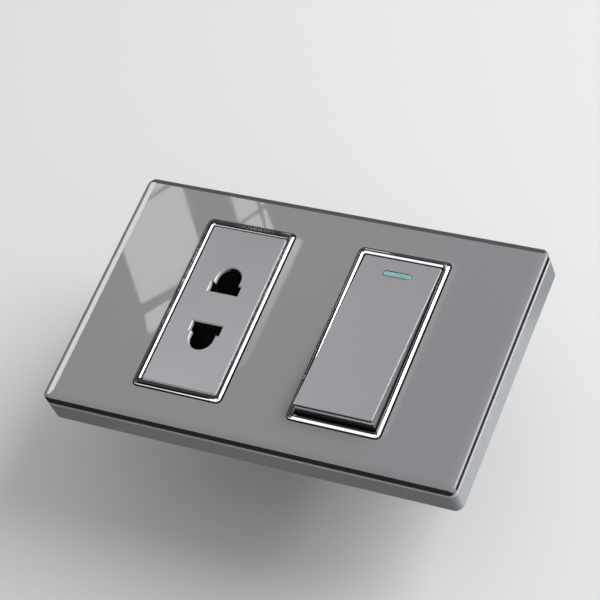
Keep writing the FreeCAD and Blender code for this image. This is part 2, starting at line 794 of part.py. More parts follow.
def make_coil(label, radius, wire, turns, length):
    # an open coil of square wire about its own Z axis, made at the origin
    helix = doc.addObject("Part::Helix", label + "_line")
    bind(helix, "Radius", radius)
    bind(helix, "Pitch", (length - wire * 2) / turns)
    bind(helix, "Height", length - wire * 2)
    section = doc.addObject("Part::RegularPolygon", label + "_section")
    section.Polygon = 4
    bind(section, "Circumradius", wire)
    section.Placement = Placement(Vector(), Rotation(Vector(1, 0, 0), 90))
    bind(section, "Placement.Base.x", radius)
    coil = doc.addObject("Part::Sweep", label)
    coil.Sections = [section]
    coil.Spine = (helix, ["Edge1"])
    coil.Solid = True
    coil.Frenet = True
    coil.Label = label
    sub_parts.append(coil)
    return coil


def make_shutter_spring():
    lug_high = s.lugTall - rail_end
    low = lug_high + s.springEndGap
    length = s.postLow - s.springEndGap - low
    coil = make_coil("shutter_spring", s.shutterSpringRadius, s.shutterWire, s.shutterTurns, length)
    bind(coil, "Placement.Base.x", lug_reach - s.springInset - module_x)
    bind(coil, "Placement.Base.y", -(rail_top + rail_back) / 2)
    bind(coil, "Placement.Base.z", low + s.shutterWire)


def make_outlet_contact(label, angle):
    # a strip bent round the aperture's outline, with a slit at its base and a tail to the terminal
    body = new_body(label, x=-module_x, axis=Vector(0, 1, 0), angle=angle)
    low = strip_front - s.contactLap
    grip = [aperture(s.contactThick), aperture(as_size(0))]
    slab(body, "Grip", grip, low, -s.contactTop)
    inner = s.slotInner - s.contactThick * 2
    slit = [box(-s.contactSlit / 2, s.contactSlit / 2, inner, s.slotInner + s.contactThick)]
    recess(body, "Slit", slit, low, -s.contactTop)
    tail_low = aperture_top + s.contactLap / 4
    slab(body, "Tail", [box(-s.stripHalf, s.stripHalf, tail_low, strip_end)], -s.stripBack, strip_front)


def make_terminal(label, side, angle):
    # brass tunnel terminal: the wire comes in from the rear, the clamp screw from the end
    body = new_body(label, x=module_x * side, axis=Vector(0, 1, 0), angle=angle)
    back = -(s.stripBack + s.terminalDepth)
    block = [box(-s.terminalHalf, s.terminalHalf, terminal_low, terminal_high)]
    slab(body, "Block", block, back, -s.stripBack)
    drill(body, "WireBore", [(s.wireBore, 0, wire_z)], back, -s.stripBack)
    thread = new_sketch(body, "ScrewHole", "XY_Plane", terminal_high)
    draw_circle(thread, s.clampRadius + s.clampGap, 0, -clamp_height)
    pocket(body, thread, terminal_high - wire_z)


def make_clamp_screws(label, side):
    # the two clamp screws of one module, as separate solids of one node
    screws = []
    head_low = terminal_high + s.clampHeadGap
    for up in (1, -1):
        name = f"{label}_{'upper' if up > 0 else 'lower'}"
        shank = doc.addObject("Part::Cylinder", name + "_shank")
        bind(shank, "Radius", s.clampRadius)
        bind(shank, "Height", s.clampHeadGap + s.clampEngage)
        bind(shank, "Placement.Base.z", terminal_high - s.clampEngage)
        head = doc.addObject("Part::Cylinder", name + "_head")
        bind(head, "Radius", s.clampHeadRadius)
        bind(head, "Height", s.clampHeadThick)
        bind(head, "Placement.Base.z", head_low)
        groove = doc.addObject("Part::Box", name + "_groove")
        bind(groove, "Length", s.clampHeadRadius * 2)
        bind(groove, "Width", s.clampSlotWidth)
        bind(groove, "Height", s.clampHeadThick)
        bind(groove, "Placement.Base.x", -s.clampHeadRadius)
        bind(groove, "Placement.Base.y", -s.clampSlotWidth / 2)
        bind(groove, "Placement.Base.z", head_low + s.clampHeadThick - s.clampSlotDepth)
        whole = doc.addObject("Part::Fuse", name + "_whole")
        whole.Base, whole.Tool = shank, head
        screw = doc.addObject("Part::Cut", name)
        screw.Base, screw.Tool = whole, groove
        screw.Placement = Placement(Vector(), Rotation(Vector(1, 0, 0), 0 if up > 0 else 180))
        bind(screw, "Placement.Base.x", module_x * side)
        bind(screw, "Placement.Base.y", -clamp_height)
        screws.append(screw)
    group = doc.addObject("Part::Compound", label)
    group.Label = label
    group.Links = screws
    sub_parts.append(group)


def make_outlet_screws():
    screws = []
    for name, x, z in (("upper", -screw_x, screw_z), ("lower", screw_x, -screw_z)):
        shank = doc.addObject("Part::Cylinder", f"outlet_screw_{name}_shank")
        bind(shank, "Radius", s.screwRadius)
        bind(shank, "Height", screw_reach + s.screwSeat)
        head = doc.addObject("Part::Cylinder", f"outlet_screw_{name}_head")
        bind(head, "Radius", s.screwHeadRadius)
        bind(head, "Height", s.screwHeadThick)
        bind(head, "Placement.Base.z", -s.screwHeadThick)
        screw = doc.addObject("Part::Fuse", f"outlet_screw_{name}")
        screw.Base, screw.Tool = shank, head
        screw.Placement = Placement(Vector(), Rotation(Vector(1, 0, 0), 90))
        bind(screw, "Placement.Base.x", as_size(x) - module_x)
        bind(screw, "Placement.Base.y", s.screwSeat)
        bind(screw, "Placement.Base.z", z)
        screws.append(screw)
    group = doc.addObject("Part::Compound", "outlet_screws")
    group.Label = "outlet_screws"
    group.Links = screws
    sub_parts.append(group)


def new_rocker_body(label):
    # a body about the rocker's pivot, tilted to its rest position with the top edge pressed in
    return new_body(label, x=module_x, height=rocker_pivot, axis=Vector(1, 0, 0), angle=-s.rockerTilt)


def make_rocker_button():
    body = new_rocker_body("rocker_button")
    top = s.rockerReach
    bottom = top - s.rockerSkirt
    inner = top - s.rockerPlate
    slab(body, "Cap", [rounded(rocker_width, rocker_height, s.rockerCorner)], bottom, top)
    hollow = [centred(rocker_width - s.rockerWall * 2, rocker_height - s.rockerWall * 2)]
    recess(body, "CapHollow", hollow, bottom, inner)
    pads_at = [(pad_x * x, pad_z * z) for x in (-1, 1) for z in (-1, 1)]
    feet = [centred(s.padHalf * 2, s.padHalf * 2, x, z) for x, z in pads_at]
    slab(body, "Feet", feet, s.carrierTop, inner)
    length, radius = s.lensLength + s.lensGap * 2, s.lensHeight / 2 + s.lensGap
    recess(body, "LensRecess", [slot(length, radius, 0, rocker_height / 2 - s.lensInset)], top - s.lensDepth, top)
    edge_x, edge_z = rocker_width / 2 - s.rockerCorner * 2, rocker_height / 2 - s.rockerCorner * 2
    bevel(body, "CapEdge", lambda e: lies_at(e, top) and beyond(e, edge_x, edge_z), s.rockerEdge)


def make_indicator_lens():
    body = new_rocker_body("indicator_lens")
    top = s.rockerReach
    slab(body, "Lens", [slot(s.lensLength, s.lensHeight / 2, 0, rocker_height / 2 - s.lensInset)], top - s.lensDepth, top)


def make_rocker_carrier():
    body = new_rocker_body("rocker_carrier")
    top, bottom = s.carrierTop, s.carrierTop - s.carrierPlate
    plate = [centred(cheek_outer * 2, carrier_half * 2)]
    slab(body, "CarrierPlate", plate, bottom, top)
    # stiffening ribs across the plate, up to the cap
    rib_top = s.rockerReach - s.rockerPlate
    ribs = [centred(cheek_outer * 2, s.carrierRib, 0, pad_z / 2 * z) for z in (-1, 1)]
    slab(body, "CarrierRibs", ribs, top, rib_top)
    for name, side in (("CheekLeft", -1), ("CheekRight", 1)):
        sketch = new_sketch(body, name, "YZ_Plane", (cheek_outer - s.cheekThick / 2) * side)
        low, half = -s.cheekBottom, s.cheekHalf
        points, arcs = at_side([(low, -half), (bottom, -half), (bottom, half), (low, half)])
        draw_outline(sketch, points, arcs)
        pad(body, sketch, s.cheekThick, symmetric=True)
        pins = new_sketch(body, name + "Pin", "YZ_Plane", (cheek_outer + pin_reach) / 2 * side)
        draw_circle(pins, s.pivotPin, 0, 0)
        pad(body, pins, pin_reach - cheek_outer, symmetric=True)
    post(body, "Tube", [(s.tubeRadius, 0, 0)], -s.tubeBottom, top)
    drill(body, "TubeBore", [(s.tubeBore, 0, 0)], -s.tubeBottom, s.tubeTop)


def make_plunger():
    body = new_rocker_body("plunger")
    sketch = new_sketch(body, "Profile", "XY_Plane", 0)
    tip_start = plunger_length - s.plungerTip
    neck = plunger_length - s.plungerNose
    points = [
        (0, s.plungerTop), (0, plunger_length), (s.plungerTip, tip_start), (s.plungerTip, neck),
        (s.plungerRadius, neck - s.plungerCone), (s.plungerRadius, s.plungerTop),
    ]
    draw_profile(sketch, points, 1, (0, tip_start))
    feature = body.newObject("PartDesign::Revolution", "Turned")
    feature.Profile = sketch
    feature.ReferenceAxis = (sketch, ["V_Axis"])
    feature.Angle = 360


def draw_profile(sketch, points, arc_at, centre):
    # a closed outline with one arc that runs clockwise, from its second point back to its first
    points = [(as_size(x), as_size(y)) for x, y in points]
    ends = []
    for i, (x, y) in enumerate(points):
        x2, y2 = points[(i + 1) % len(points)]
        start, end = Vector(x.value, y.value), Vector(x2.value, y2.value)
        if i == arc_at:
            middle = Vector(as_size(centre[0]).value, as_size(centre[1]).value)
            circle = Part.Circle(middle, Vector(0, 0, 1), (start - middle).Length)
            angles = [math.atan2(p.y - middle.y, p.x - middle.x) for p in (end, start)]
            geometry = sketch.addGeometry(Part.ArcOfCircle(circle, *angles), False)
            ends.append((geometry, 2, 1))
        else:
            geometry = sketch.addGeometry(Part.LineSegment(start, end), False)
            ends.append((geometry, 1, 2))
    for i, (geometry, first, last) in enumerate(ends):
        following, start, _ = ends[(i + 1) % len(ends)]
        sketch.addConstraint(Sketcher.Constraint("Coincident", geometry, last, following, start))
        fix_distance(sketch, "DistanceX", geometry, first, points[i][0])
        fix_distance(sketch, "DistanceY", geometry, first, points[i][1])
    fix_distance(sketch, "DistanceY", ends[arc_at][0], 3, centre[1])


def make_plunger_spring():
    # between the closed end of the tube and the top of the plunger, tilted with the rocker
    low = -s.plungerTop + s.springEndGap
    length = s.tubeTop - s.springEndGap - low
    coil = make_coil("plunger_spring", s.plungerSpringRadius, s.plungerWire, s.plungerTurns, length)
    coil.Placement = Placement(Vector(), Rotation(Vector(1, 0, 0), 90 - s.rockerTilt.value))
    bind(coil, "Placement.Rotation.Angle", as_size(90) - s.rockerTilt)
    start = low + s.plungerWire
    bind(coil, "Placement.Base.x", module_x)
    bind(coil, "Placement.Base.y", -rocker_pivot - start * cosine(s.rockerTilt))
    bind(coil, "Placement.Base.z", start * sine(s.rockerTilt))


def new_seesaw_body(label):
    # a body about the seesaw's pivot, tilted the other way from the rocker
    angle = s.rockerTilt * s.tiltRatio
    return new_body(label, x=module_x, height=seesaw_pivot, axis=Vector(1, 0, 0), angle=angle)


def make_moving_contact():
    body = new_seesaw_body("moving_contact")
    strip = [box(-s.seesawHalf, s.seesawHalf, -s.seesawDown, s.tipPlace + tip_reach)]
    slab(body, "Seesaw", strip, s.seesawRise, s.seesawRise + s.seesawThick)
    ridge = new_sketch(body, "Ridge", "YZ_Plane", 0)
    draw_circle(ridge, s.ridgeRadius, 0, 0)
    pad(body, ridge, s.seesawHalf * 2, symmetric=True)


def make_moving_tip():
    body = new_seesaw_body("moving_tip")
    back = s.seesawRise - s.tipThick
    post(body, "Tip", [(s.tipRadius, 0, s.tipPlace)], back, s.seesawRise)
    bevel(body, "TipEdge", lambda e: lies_at(e, back), s.tipEdge)


def make_fixed_tip():
    body = new_body("fixed_tip", x=module_x)
    # just under the lowest point that the moving tip reaches
    swing = (s.tipPlace + s.tipRadius) * sine(s.rockerTilt * s.tiltRatio)
    front = seesaw_pivot - swing - s.tipGap
    post(body, "Tip", [(s.tipRadius, 0, s.tipPlace)], strip_front, front)
    bevel(body, "TipEdge", lambda e: lies_at(e, front), s.tipEdge)


def make_fixed_contact():
    body = new_body("fixed_contact", x=module_x)
    strip = [box(-s.seesawHalf, s.seesawHalf, s.tipPlace - tip_reach, strip_end)]
    slab(body, "Strip", strip, -s.stripBack, strip_front)


def make_common_contact():
    body = new_body("common_contact", x=module_x)
    strip = [box(-s.seesawHalf, s.seesawHalf, -strip_end, s.cradleHalf)]
    slab(body, "Strip", strip, -s.stripBack, strip_front)
    cradle = [box(-s.seesawHalf, s.seesawHalf, -s.cradleHalf, s.cradleHalf)]
    slab(body, "Cradle", cradle, strip_front, seesaw_pivot - s.cradleTop)
    groove = new_sketch(body, "Groove", "YZ_Plane", 0)
    draw_circle(groove, s.ridgeRadius + s.ridgeGap, -seesaw_pivot, 0)
    pocket(body, groove, s.seesawHalf * 2, symmetric=True)


def make_all():
    make_glass_panel()
    make_bonding_sheet()
    make_cover_frame()
    make_mounting_frame()
    make_steel_strap()
    make_trim("outlet_trim", -1)
    make_trim("switch_trim", 1)
    make_outlet_housing()
    make_outlet_face()
    make_outlet_shutter()
    make_shutter_spring()
    for name, angle in (("upper", 0), ("lower", 180)):
        make_outlet_contact(f"outlet_contact_{name}", angle)
        make_terminal(f"outlet_terminal_{name}", -1, angle)
    make_clamp_screws("outlet_terminal_screws", -1)
    make_outlet_screws()
    make_switch_housing()
    make_rocker_button()
    make_indicator_lens()
    make_rocker_carrier()
    make_plunger()
    make_plunger_spring()
    make_moving_contact()
    make_moving_tip()
    make_fixed_tip()
    make_fixed_contact()
    make_common_contact()
    make_terminal("switch_terminal_fixed", 1, 0)
    make_terminal("switch_terminal_common", 1, 180)
    make_clamp_screws("switch_terminal_screws", 1)
    doc.recompute()


def check_all():
    # stops on a failed object, an empty or broken shape, or a cut or pad that changed nothing
    for item in doc.Objects:
        if "Invalid" in item.State or "Error" in item.State:
            raise RuntimeError(f"{item.Name} failed: {item.State}")
    for item in sub_parts:
        if item.Shape.isNull() or not item.Shape.isValid() or item.Shape.Volume <= 0:
            raise RuntimeError(f"{item.Label} has no valid solid")
    for feature in pockets + pads:
        base = feature.BaseFeature
        if base is None:
            continue
        change = feature.Shape.Volume - base.Shape.Volume
        if abs(change) < 1e-4 or (change > 0) != (feature in pads):
            raise RuntimeError(f"{feature.Name} changed its body by {change:.4f} mm3")


def write_all():
    os.makedirs("parts", exist_ok=True)
    for item in sub_parts:
        item.Shape.exportStep(f"parts/{item.Label}.step")
        solids = len(item.Shape.Solids)
        print(f"{item.Label}: {solids} solid(s), {item.Shape.Volume:.1f} mm3")


make_all()
check_all()
write_all()
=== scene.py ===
import json
import math

import bmesh
import bpy
from mathutils import Matrix, Vector

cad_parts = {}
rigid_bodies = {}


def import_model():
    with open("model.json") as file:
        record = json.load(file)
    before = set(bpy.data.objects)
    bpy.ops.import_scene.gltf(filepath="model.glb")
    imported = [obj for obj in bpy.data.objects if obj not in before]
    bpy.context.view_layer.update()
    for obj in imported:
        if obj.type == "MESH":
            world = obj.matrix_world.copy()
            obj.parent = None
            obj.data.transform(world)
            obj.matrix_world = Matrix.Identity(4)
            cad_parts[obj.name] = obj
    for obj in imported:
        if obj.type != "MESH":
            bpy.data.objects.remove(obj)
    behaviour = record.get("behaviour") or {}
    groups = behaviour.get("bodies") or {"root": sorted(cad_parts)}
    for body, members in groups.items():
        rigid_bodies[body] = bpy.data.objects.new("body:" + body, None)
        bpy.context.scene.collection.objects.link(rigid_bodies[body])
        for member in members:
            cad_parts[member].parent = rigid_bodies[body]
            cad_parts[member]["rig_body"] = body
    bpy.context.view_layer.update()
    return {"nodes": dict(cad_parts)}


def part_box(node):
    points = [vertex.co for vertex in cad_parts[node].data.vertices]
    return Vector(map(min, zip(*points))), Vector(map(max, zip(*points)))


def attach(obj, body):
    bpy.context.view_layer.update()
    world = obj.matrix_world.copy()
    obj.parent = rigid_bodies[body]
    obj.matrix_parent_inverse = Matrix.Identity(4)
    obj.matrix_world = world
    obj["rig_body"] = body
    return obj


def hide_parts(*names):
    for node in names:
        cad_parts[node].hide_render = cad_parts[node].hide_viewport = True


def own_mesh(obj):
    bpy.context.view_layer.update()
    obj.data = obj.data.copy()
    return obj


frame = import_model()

mm = 0.001
nodes = frame["nodes"]
print("frame loaded:", len(nodes), "nodes")


# nodes and sockets

def place(tree, kind, values=None, **settings):
    node = tree.nodes.new(kind)
    for key, value in settings.items():
        setattr(node, key, value)
    for key, value in (values or {}).items():
        node.inputs[key].default_value = value
    return node


def newGroup(name, inputs, outputs):
    group = bpy.data.node_groups.new(name, "ShaderNodeTree")
    for label, value in inputs.items():
        socket = group.interface.new_socket(label, in_out="INPUT", socket_type="NodeSocketFloat")
        socket.default_value = value
    for label in outputs:
        group.interface.new_socket(label, in_out="OUTPUT", socket_type="NodeSocketFloat")
    return group, place(group, "NodeGroupInput"), place(group, "NodeGroupOutput")


def arithmetic(tree, operation, first, second, clamp=False):
    node = place(tree, "ShaderNodeMath", operation=operation, use_clamp=clamp)
    for i, value in enumerate((first, second)):
        if isinstance(value, (int, float)):
            node.inputs[i].default_value = value
        else:
            tree.links.new(value, node.inputs[i])
    return node.outputs[0]


def spread(tree, value, low, high, toLow=0.0, toHigh=1.0):
    limits = {"From Min": low, "From Max": high, "To Min": toLow, "To Max": toHigh}
    node = place(tree, "ShaderNodeMapRange", limits)
    tree.links.new(value, node.inputs["Value"])
    return node.outputs["Result"]


def objectPoint(tree):
    return place(tree, "ShaderNodeTexCoord").outputs["Object"]


def axisOf(tree, vector, axis):
    axes = place(tree, "ShaderNodeSeparateXYZ")
    tree.links.new(vector, axes.inputs["Vector"])
    return axes.outputs[axis]


def textureAt(tree, kind, point, scale, values=None, **settings):
    texture = place(tree, kind, values, **settings)
    tree.links.new(point, texture.inputs["Vector"])
    tree.links.new(scale, texture.inputs["Scale"])
    return texture


def noiseAt(tree, point, scale, **values):
    return textureAt(tree, "ShaderNodeTexNoise", point, scale, values).outputs["Fac"]


def stretched(tree, point, **values):
    stretch = place(tree, "ShaderNodeMapping", values)
    tree.links.new(point, stretch.inputs["Vector"])
    return stretch.outputs["Vector"]


# effects that several finishes share

def makeGrainGroup():
    # moulded skin: a fine spark texture and a slow change of tone
    scales = {"Grain Scale": 4000.0, "Tone Scale": 40.0}
    group, inside, outside = newGroup("mouldedGrain", scales, ("Tone", "Height"))
    point = objectPoint(group)
    fine = noiseAt(group, point, inside.outputs["Grain Scale"], Detail=3.0, Roughness=0.6)
    slow = noiseAt(group, point, inside.outputs["Tone Scale"], Detail=2.0, Roughness=0.5)
    group.links.new(spread(group, slow, 0.3, 0.7), outside.inputs["Tone"])
    group.links.new(fine, outside.inputs["Height"])
    return group


def makeEdgeGroup():
    # rubbed edges: a mask on the outer edges, broken up by noise
    values = {"Start": 0.52, "Full": 0.62, "Break Scale": 900.0}
    group, inside, outside = newGroup("rubbedEdges", values, ("Mask",))
    noise = noiseAt(group, objectPoint(group), inside.outputs["Break Scale"], Detail=4.0, Roughness=0.7)
    shape = place(group, "ShaderNodeNewGeometry")
    edge = place(group, "ShaderNodeMapRange")
    group.links.new(shape.outputs["Pointiness"], edge.inputs["Value"])
    group.links.new(inside.outputs["Start"], edge.inputs["From Min"])
    group.links.new(inside.outputs["Full"], edge.inputs["From Max"])
    broken = spread(group, noise, 0.35, 0.6)
    mask = arithmetic(group, "MULTIPLY", edge.outputs["Result"], broken, clamp=True)
    group.links.new(mask, outside.inputs["Mask"])
    return group


def makeDustGroup():
    # dust specks and thin wiping marks
    scales = {"Speck Scale": 700.0, "Wipe Scale": 55.0}
    group, inside, outside = newGroup("dustAndWipes", scales, ("Specks", "Wipes"))
    point = objectPoint(group)
    specks = textureAt(group, "ShaderNodeTexVoronoi", point, inside.outputs["Speck Scale"], feature="F1")
    small = spread(group, specks.outputs["Distance"], 0.10, 0.04)
    few = spread(group, noiseAt(group, point, inside.outputs["Wipe Scale"], Detail=1.0), 0.56, 0.66)
    group.links.new(arithmetic(group, "MULTIPLY", small, few, clamp=True), outside.inputs["Specks"])
    along = stretched(group, point, Rotation=(0.0, 0.5, 0.0), Scale=(1.0, 1.0, 5.0))
    wipes = noiseAt(group, along, inside.outputs["Wipe Scale"], Detail=5.0, Roughness=0.65, Distortion=0.4)
    group.links.new(spread(group, wipes, 0.4, 0.7), outside.inputs["Wipes"])
    return group


def makeRolledGroup():
    # rolled and drawn metal: fine lines along one axis, with stains
    scales = {"Line Scale": 2500.0, "Stain Scale": 120.0}
    group, inside, outside = newGroup("rolledMetal", scales, ("Lines", "Stains"))
    point = objectPoint(group)
    along = stretched(group, point, Scale=(0.03, 1.0, 1.0))
    lines = noiseAt(group, along, inside.outputs["Line Scale"], Detail=3.0, Roughness=0.7)
    group.links.new(lines, outside.inputs["Lines"])
    stains = noiseAt(group, point, inside.outputs["Stain Scale"], Detail=5.0, Roughness=0.6, Distortion=0.8)
    group.links.new(spread(group, stains, 0.35, 0.7), outside.inputs["Stains"])
    return group


def makeFlakeGroup():
    # metallic paint: small flakes of different tone
    group, inside, outside = newGroup("paintFlakes", {"Flake Scale": 6000.0}, ("Flake",))
    scale = inside.outputs["Flake Scale"]
    cells = textureAt(group, "ShaderNodeTexVoronoi", objectPoint(group), scale, feature="F1")
    tone = place(group, "ShaderNodeSeparateColor")
    group.links.new(cells.outputs["Color"], tone.inputs["Color"])
    group.links.new(tone.outputs["Red"], outside.inputs["Flake"])
    return group


grainGroup = makeGrainGroup()
edgeGroup = makeEdgeGroup()
dustGroup = makeDustGroup()
rolledGroup = makeRolledGroup()
flakeGroup = makeFlakeGroup()


def useGroup(tree, group, **values):
    node = place(tree, "ShaderNodeGroup", node_tree=group)
    for key, value in values.items():
        node.inputs[key.replace("_", " ")].default_value = value
    return node


def mixColours(tree, mask, first, second):
    # first and second are colours, or the output of an earlier mix
    node = place(tree, "ShaderNodeMix", data_type="RGBA")
    tree.links.new(mask, node.inputs[0])
    for socket, colour in ((node.inputs[6], first), (node.inputs[7], second)):
        if isinstance(colour, tuple):
            socket.default_value = (*colour, 1.0)
        else:
            tree.links.new(colour, socket)
    return node.outputs[2]


def colourFrom(tree, shader, mask, first, second):
    tree.links.new(mixColours(tree, mask, first, second), shader.inputs["Base Color"])


def roughFrom(tree, shader, value, rough, low=0.3, high=0.7):
    # rough is the roughness at the low and at the high value
    tree.links.new(spread(tree, value, low, high, *rough), shader.inputs["Roughness"])


def bumpFrom(tree, shader, height, strength, depth):
    # depth in mm
    bump = place(tree, "ShaderNodeBump", {"Strength": strength, "Distance": depth * mm})
    tree.links.new(height, bump.inputs["Height"])
    tree.links.new(bump.outputs["Normal"], shader.inputs["Normal"])


def newFinish(name, **sockets):
    material = bpy.data.materials.new(name)
    material.use_nodes = True
    shader = material.node_tree.nodes["Principled BSDF"]
    for key, value in sockets.items():
        shader.inputs[key.replace("_", " ")].default_value = value
    return material, material.node_tree, shader


# glass, bonding layer and indicator

glassLook = {"left": (0.276, 0.277, 0.275), "right": (0.256, 0.255, 0.272), "reach": 45.0,
             "dust": (0.36, 0.36, 0.37), "dustShare": 0.35, "rough": (0.012, 0.035)}


def makePaintedGlass(name, look):
    # polished glass with grey paint behind it, a little greener on the left and bluer on the right
    material, tree, shader = newFinish(name, IOR=1.5)
    dust = useGroup(tree, dustGroup, Speck_Scale=900.0, Wipe_Scale=38.0)
    reach = look["reach"] * mm
    across = spread(tree, axisOf(tree, objectPoint(tree), "X"), -reach, reach)
    base = mixColours(tree, across, look["left"], look["right"])
    faint = arithmetic(tree, "MULTIPLY", dust.outputs["Specks"], look["dustShare"])
    colourFrom(tree, shader, faint, base, look["dust"])
    roughFrom(tree, shader, dust.outputs["Wipes"], look["rough"], 0.0, 1.0)
    return material


edgeSockets = {"IOR": 1.5, "Specular_IOR_Level": 0.2}
grainedLooks = {
    # ground and blackened edge of the glass, with painted shade where it reaches over the rim, and painted shade
    # on its upper border
    "groundGlassEdge": {"dark": (0.004, 0.004, 0.005), "light": (0.009, 0.009, 0.010), "rough": (0.45, 0.6),
                        "grain": 5000.0, "tone": 200.0, "bump": 0.15, "depth": 0.01, "sockets": edgeSockets},
    "shadedBorder": {"dark": (0.060, 0.063, 0.064), "light": (0.072, 0.075, 0.076), "rough": (0.45, 0.6),
                     "grain": 5000.0, "tone": 200.0, "bump": 0.15, "depth": 0.01, "sockets": edgeSockets},
    # black foam of the bonding layer, also used as painted shade on the cover's front under the glass
    "bondingFoam": {"dark": (0.008, 0.008, 0.009), "light": (0.016, 0.016, 0.017), "rough": (0.75, 0.95),
                    "grain": 2600.0, "tone": 150.0, "bump": 0.6, "depth": 0.06, "sockets": {"IOR": 1.4}},
    # translucent afterglow plastic
    "afterglowLens": {"dark": (0.218, 0.403, 0.405), "light": (0.254, 0.458, 0.458), "rough": (0.28, 0.36),
                      "grain": 2500.0, "tone": 500.0, "bump": 0.1, "depth": 0.01,
                      "sockets": {"IOR": 1.49, "Coat_Weight": 0.4, "Coat_Roughness": 0.08,
                                  "Subsurface_Weight": 0.15, "Subsurface_Scale": 0.001}},
}


def makeGrained(name, look):
    material, tree, shader = newFinish(name, **look["sockets"])
    grain = useGroup(tree, grainGroup, Grain_Scale=look["grain"], Tone_Scale=look["tone"])
    colourFrom(tree, shader, grain.outputs["Tone"], look["dark"], look["light"])
    roughFrom(tree, shader, grain.outputs["Height"], look["rough"])
    bumpFrom(tree, shader, grain.outputs["Height"], look["bump"], look["depth"])
    return material


# sprayed metallic paint on plastic; its levels are in mm out from the wall

satinLooks = {
    "silverPaint": {"dark": (0.352, 0.372, 0.394), "light": (0.420, 0.442, 0.468), "metal": 0.25,
                    "rough": (0.34, 0.42), "lightEdgeTone": (0.47, 0.48, 0.49)},
    "pearlGrey": {"dark": (0.282, 0.279, 0.301), "light": (0.329, 0.326, 0.349), "metal": 0.25,
                  "rough": (0.36, 0.44)},
    "pearlFace": {"dark": (0.280, 0.277, 0.295), "light": (0.327, 0.324, 0.343), "metal": 0.25,
                  "rough": (0.36, 0.44),
                  # painted sheen: darker towards the upper left of the face
                  "paintedSheen": {"direction": (0.8, 0.0, -0.6), "low": -0.030, "high": -0.004,
                            "start": (0.247, 0.246, 0.263)},
                  # painted shade deeper down the aperture walls, and a painted highlight near the edge of the
                  # walls that face right
                  "bare": {"from": 9.0, "to": 8.6, "tone": (0.010, 0.010, 0.011)},
                  "lip": {"from": 10.02, "to": 9.90, "tone": (0.74, 0.74, 0.76),
                          "bareFrom": 9.98, "bareTo": 9.70}},
    # painted highlight: a lighter copy of the pearl paint on the cap's rounded front edge
    "pearlEdge": {"dark": (0.33, 0.33, 0.345), "light": (0.38, 0.38, 0.40), "metal": 0.4,
                  "rough": (0.3, 0.38)},
    # painted highlight: the light band under the rocker's lower edge
    "capLip": {"dark": (0.80, 0.80, 0.82), "light": (0.86, 0.86, 0.88), "metal": 0.3, "rough": (0.35, 0.45)},
    # painted shade on the rocker's lower wall
    "capUnder": {"dark": (0.016, 0.016, 0.018), "light": (0.022, 0.022, 0.024), "metal": 0.1,
                 "rough": (0.5, 0.6), "bare": {"from": 11.5, "to": 10.5, "tone": (0.005, 0.005, 0.006)}},
    # the rocker's side walls, darker than its front, going to painted shade deeper into the gap
    "capSide": {"dark": (0.17, 0.17, 0.18), "light": (0.205, 0.205, 0.215), "metal": 0.1,
                "rough": (0.5, 0.6), "bare": {"from": 10.6, "to": 9.6, "tone": (0.008, 0.008, 0.009)}},
}


def addPaintedSheen(tree, tone, paintedSheen):
    # painted sheen: the face is darker towards its upper left and takes its full tone towards the lower right,
    # standing in for the satin paint's reflection
    along = place(tree, "ShaderNodeVectorMath", operation="DOT_PRODUCT")
    along.inputs[1].default_value = paintedSheen["direction"]
    tree.links.new(objectPoint(tree), along.inputs[0])
    slow = spread(tree, along.outputs["Value"], paintedSheen["low"], paintedSheen["high"])
    return mixColours(tree, slow, paintedSheen["start"], tone)


def paintShadeDownWalls(tree, tone, bare, lip):
    # painted shade: the colour goes dark further down the walls of recesses and gaps, where shade falls
    level = axisOf(tree, objectPoint(tree), "Y")
    mask = spread(tree, level, -bare["from"] * mm, -bare["to"] * mm)
    if lip:
        # painted highlight: right-facing walls keep a light band by their edge; painted shade on the others from
        # the edge on
        tone = mixColours(tree, spread(tree, level, -lip["from"] * mm, -lip["to"] * mm), tone, lip["tone"])
        shape = place(tree, "ShaderNodeNewGeometry")
        unlitWalls = spread(tree, axisOf(tree, shape.outputs["Normal"], "X"), 0.6, 0.2)
        soon = spread(tree, level, -lip["bareFrom"] * mm, -lip["bareTo"] * mm)
        mask = arithmetic(tree, "MAXIMUM", mask, arithmetic(tree, "MULTIPLY", soon, unlitWalls))
    return mixColours(tree, mask, tone, bare["tone"])


def makeSatinPaint(name, look):
    material, tree, shader = newFinish(name, Metallic=look["metal"], IOR=1.5)
    flakes = useGroup(tree, flakeGroup, Flake_Scale=7000.0)
    grain = useGroup(tree, grainGroup, Grain_Scale=3000.0, Tone_Scale=30.0)
    tone = mixColours(tree, flakes.outputs["Flake"], look["dark"], look["light"])
    # painted sheen over the face
    if "paintedSheen" in look:
        tone = addPaintedSheen(tree, tone, look["paintedSheen"])
    # painted shade down the walls, with a painted highlight on some
    if "bare" in look:
        tone = paintShadeDownWalls(tree, tone, look["bare"], look.get("lip"))
    # the outer edges of the paint are made lighter
    if "lightEdgeTone" in look:
        edges = useGroup(tree, edgeGroup, Start=0.53, Full=0.66, Break_Scale=700.0)
        faint = arithmetic(tree, "MULTIPLY", edges.outputs["Mask"], 0.5)
        tone = mixColours(tree, faint, tone, look["lightEdgeTone"])
    tree.links.new(tone, shader.inputs["Base Color"])
    roughFrom(tree, shader, grain.outputs["Tone"], look["rough"], 0.0, 1.0)
    bumpFrom(tree, shader, grain.outputs["Height"], 0.12, 0.02)
    return material


# bright plating on plastic: a very slight waviness, and faint haze

chromeLook = {"clean": (0.84, 0.85, 0.87), "hazy": (0.78, 0.79, 0.81), "rough": (0.012, 0.03),
              "waves": 260.0, "bump": 0.005, "depth": 0.02}


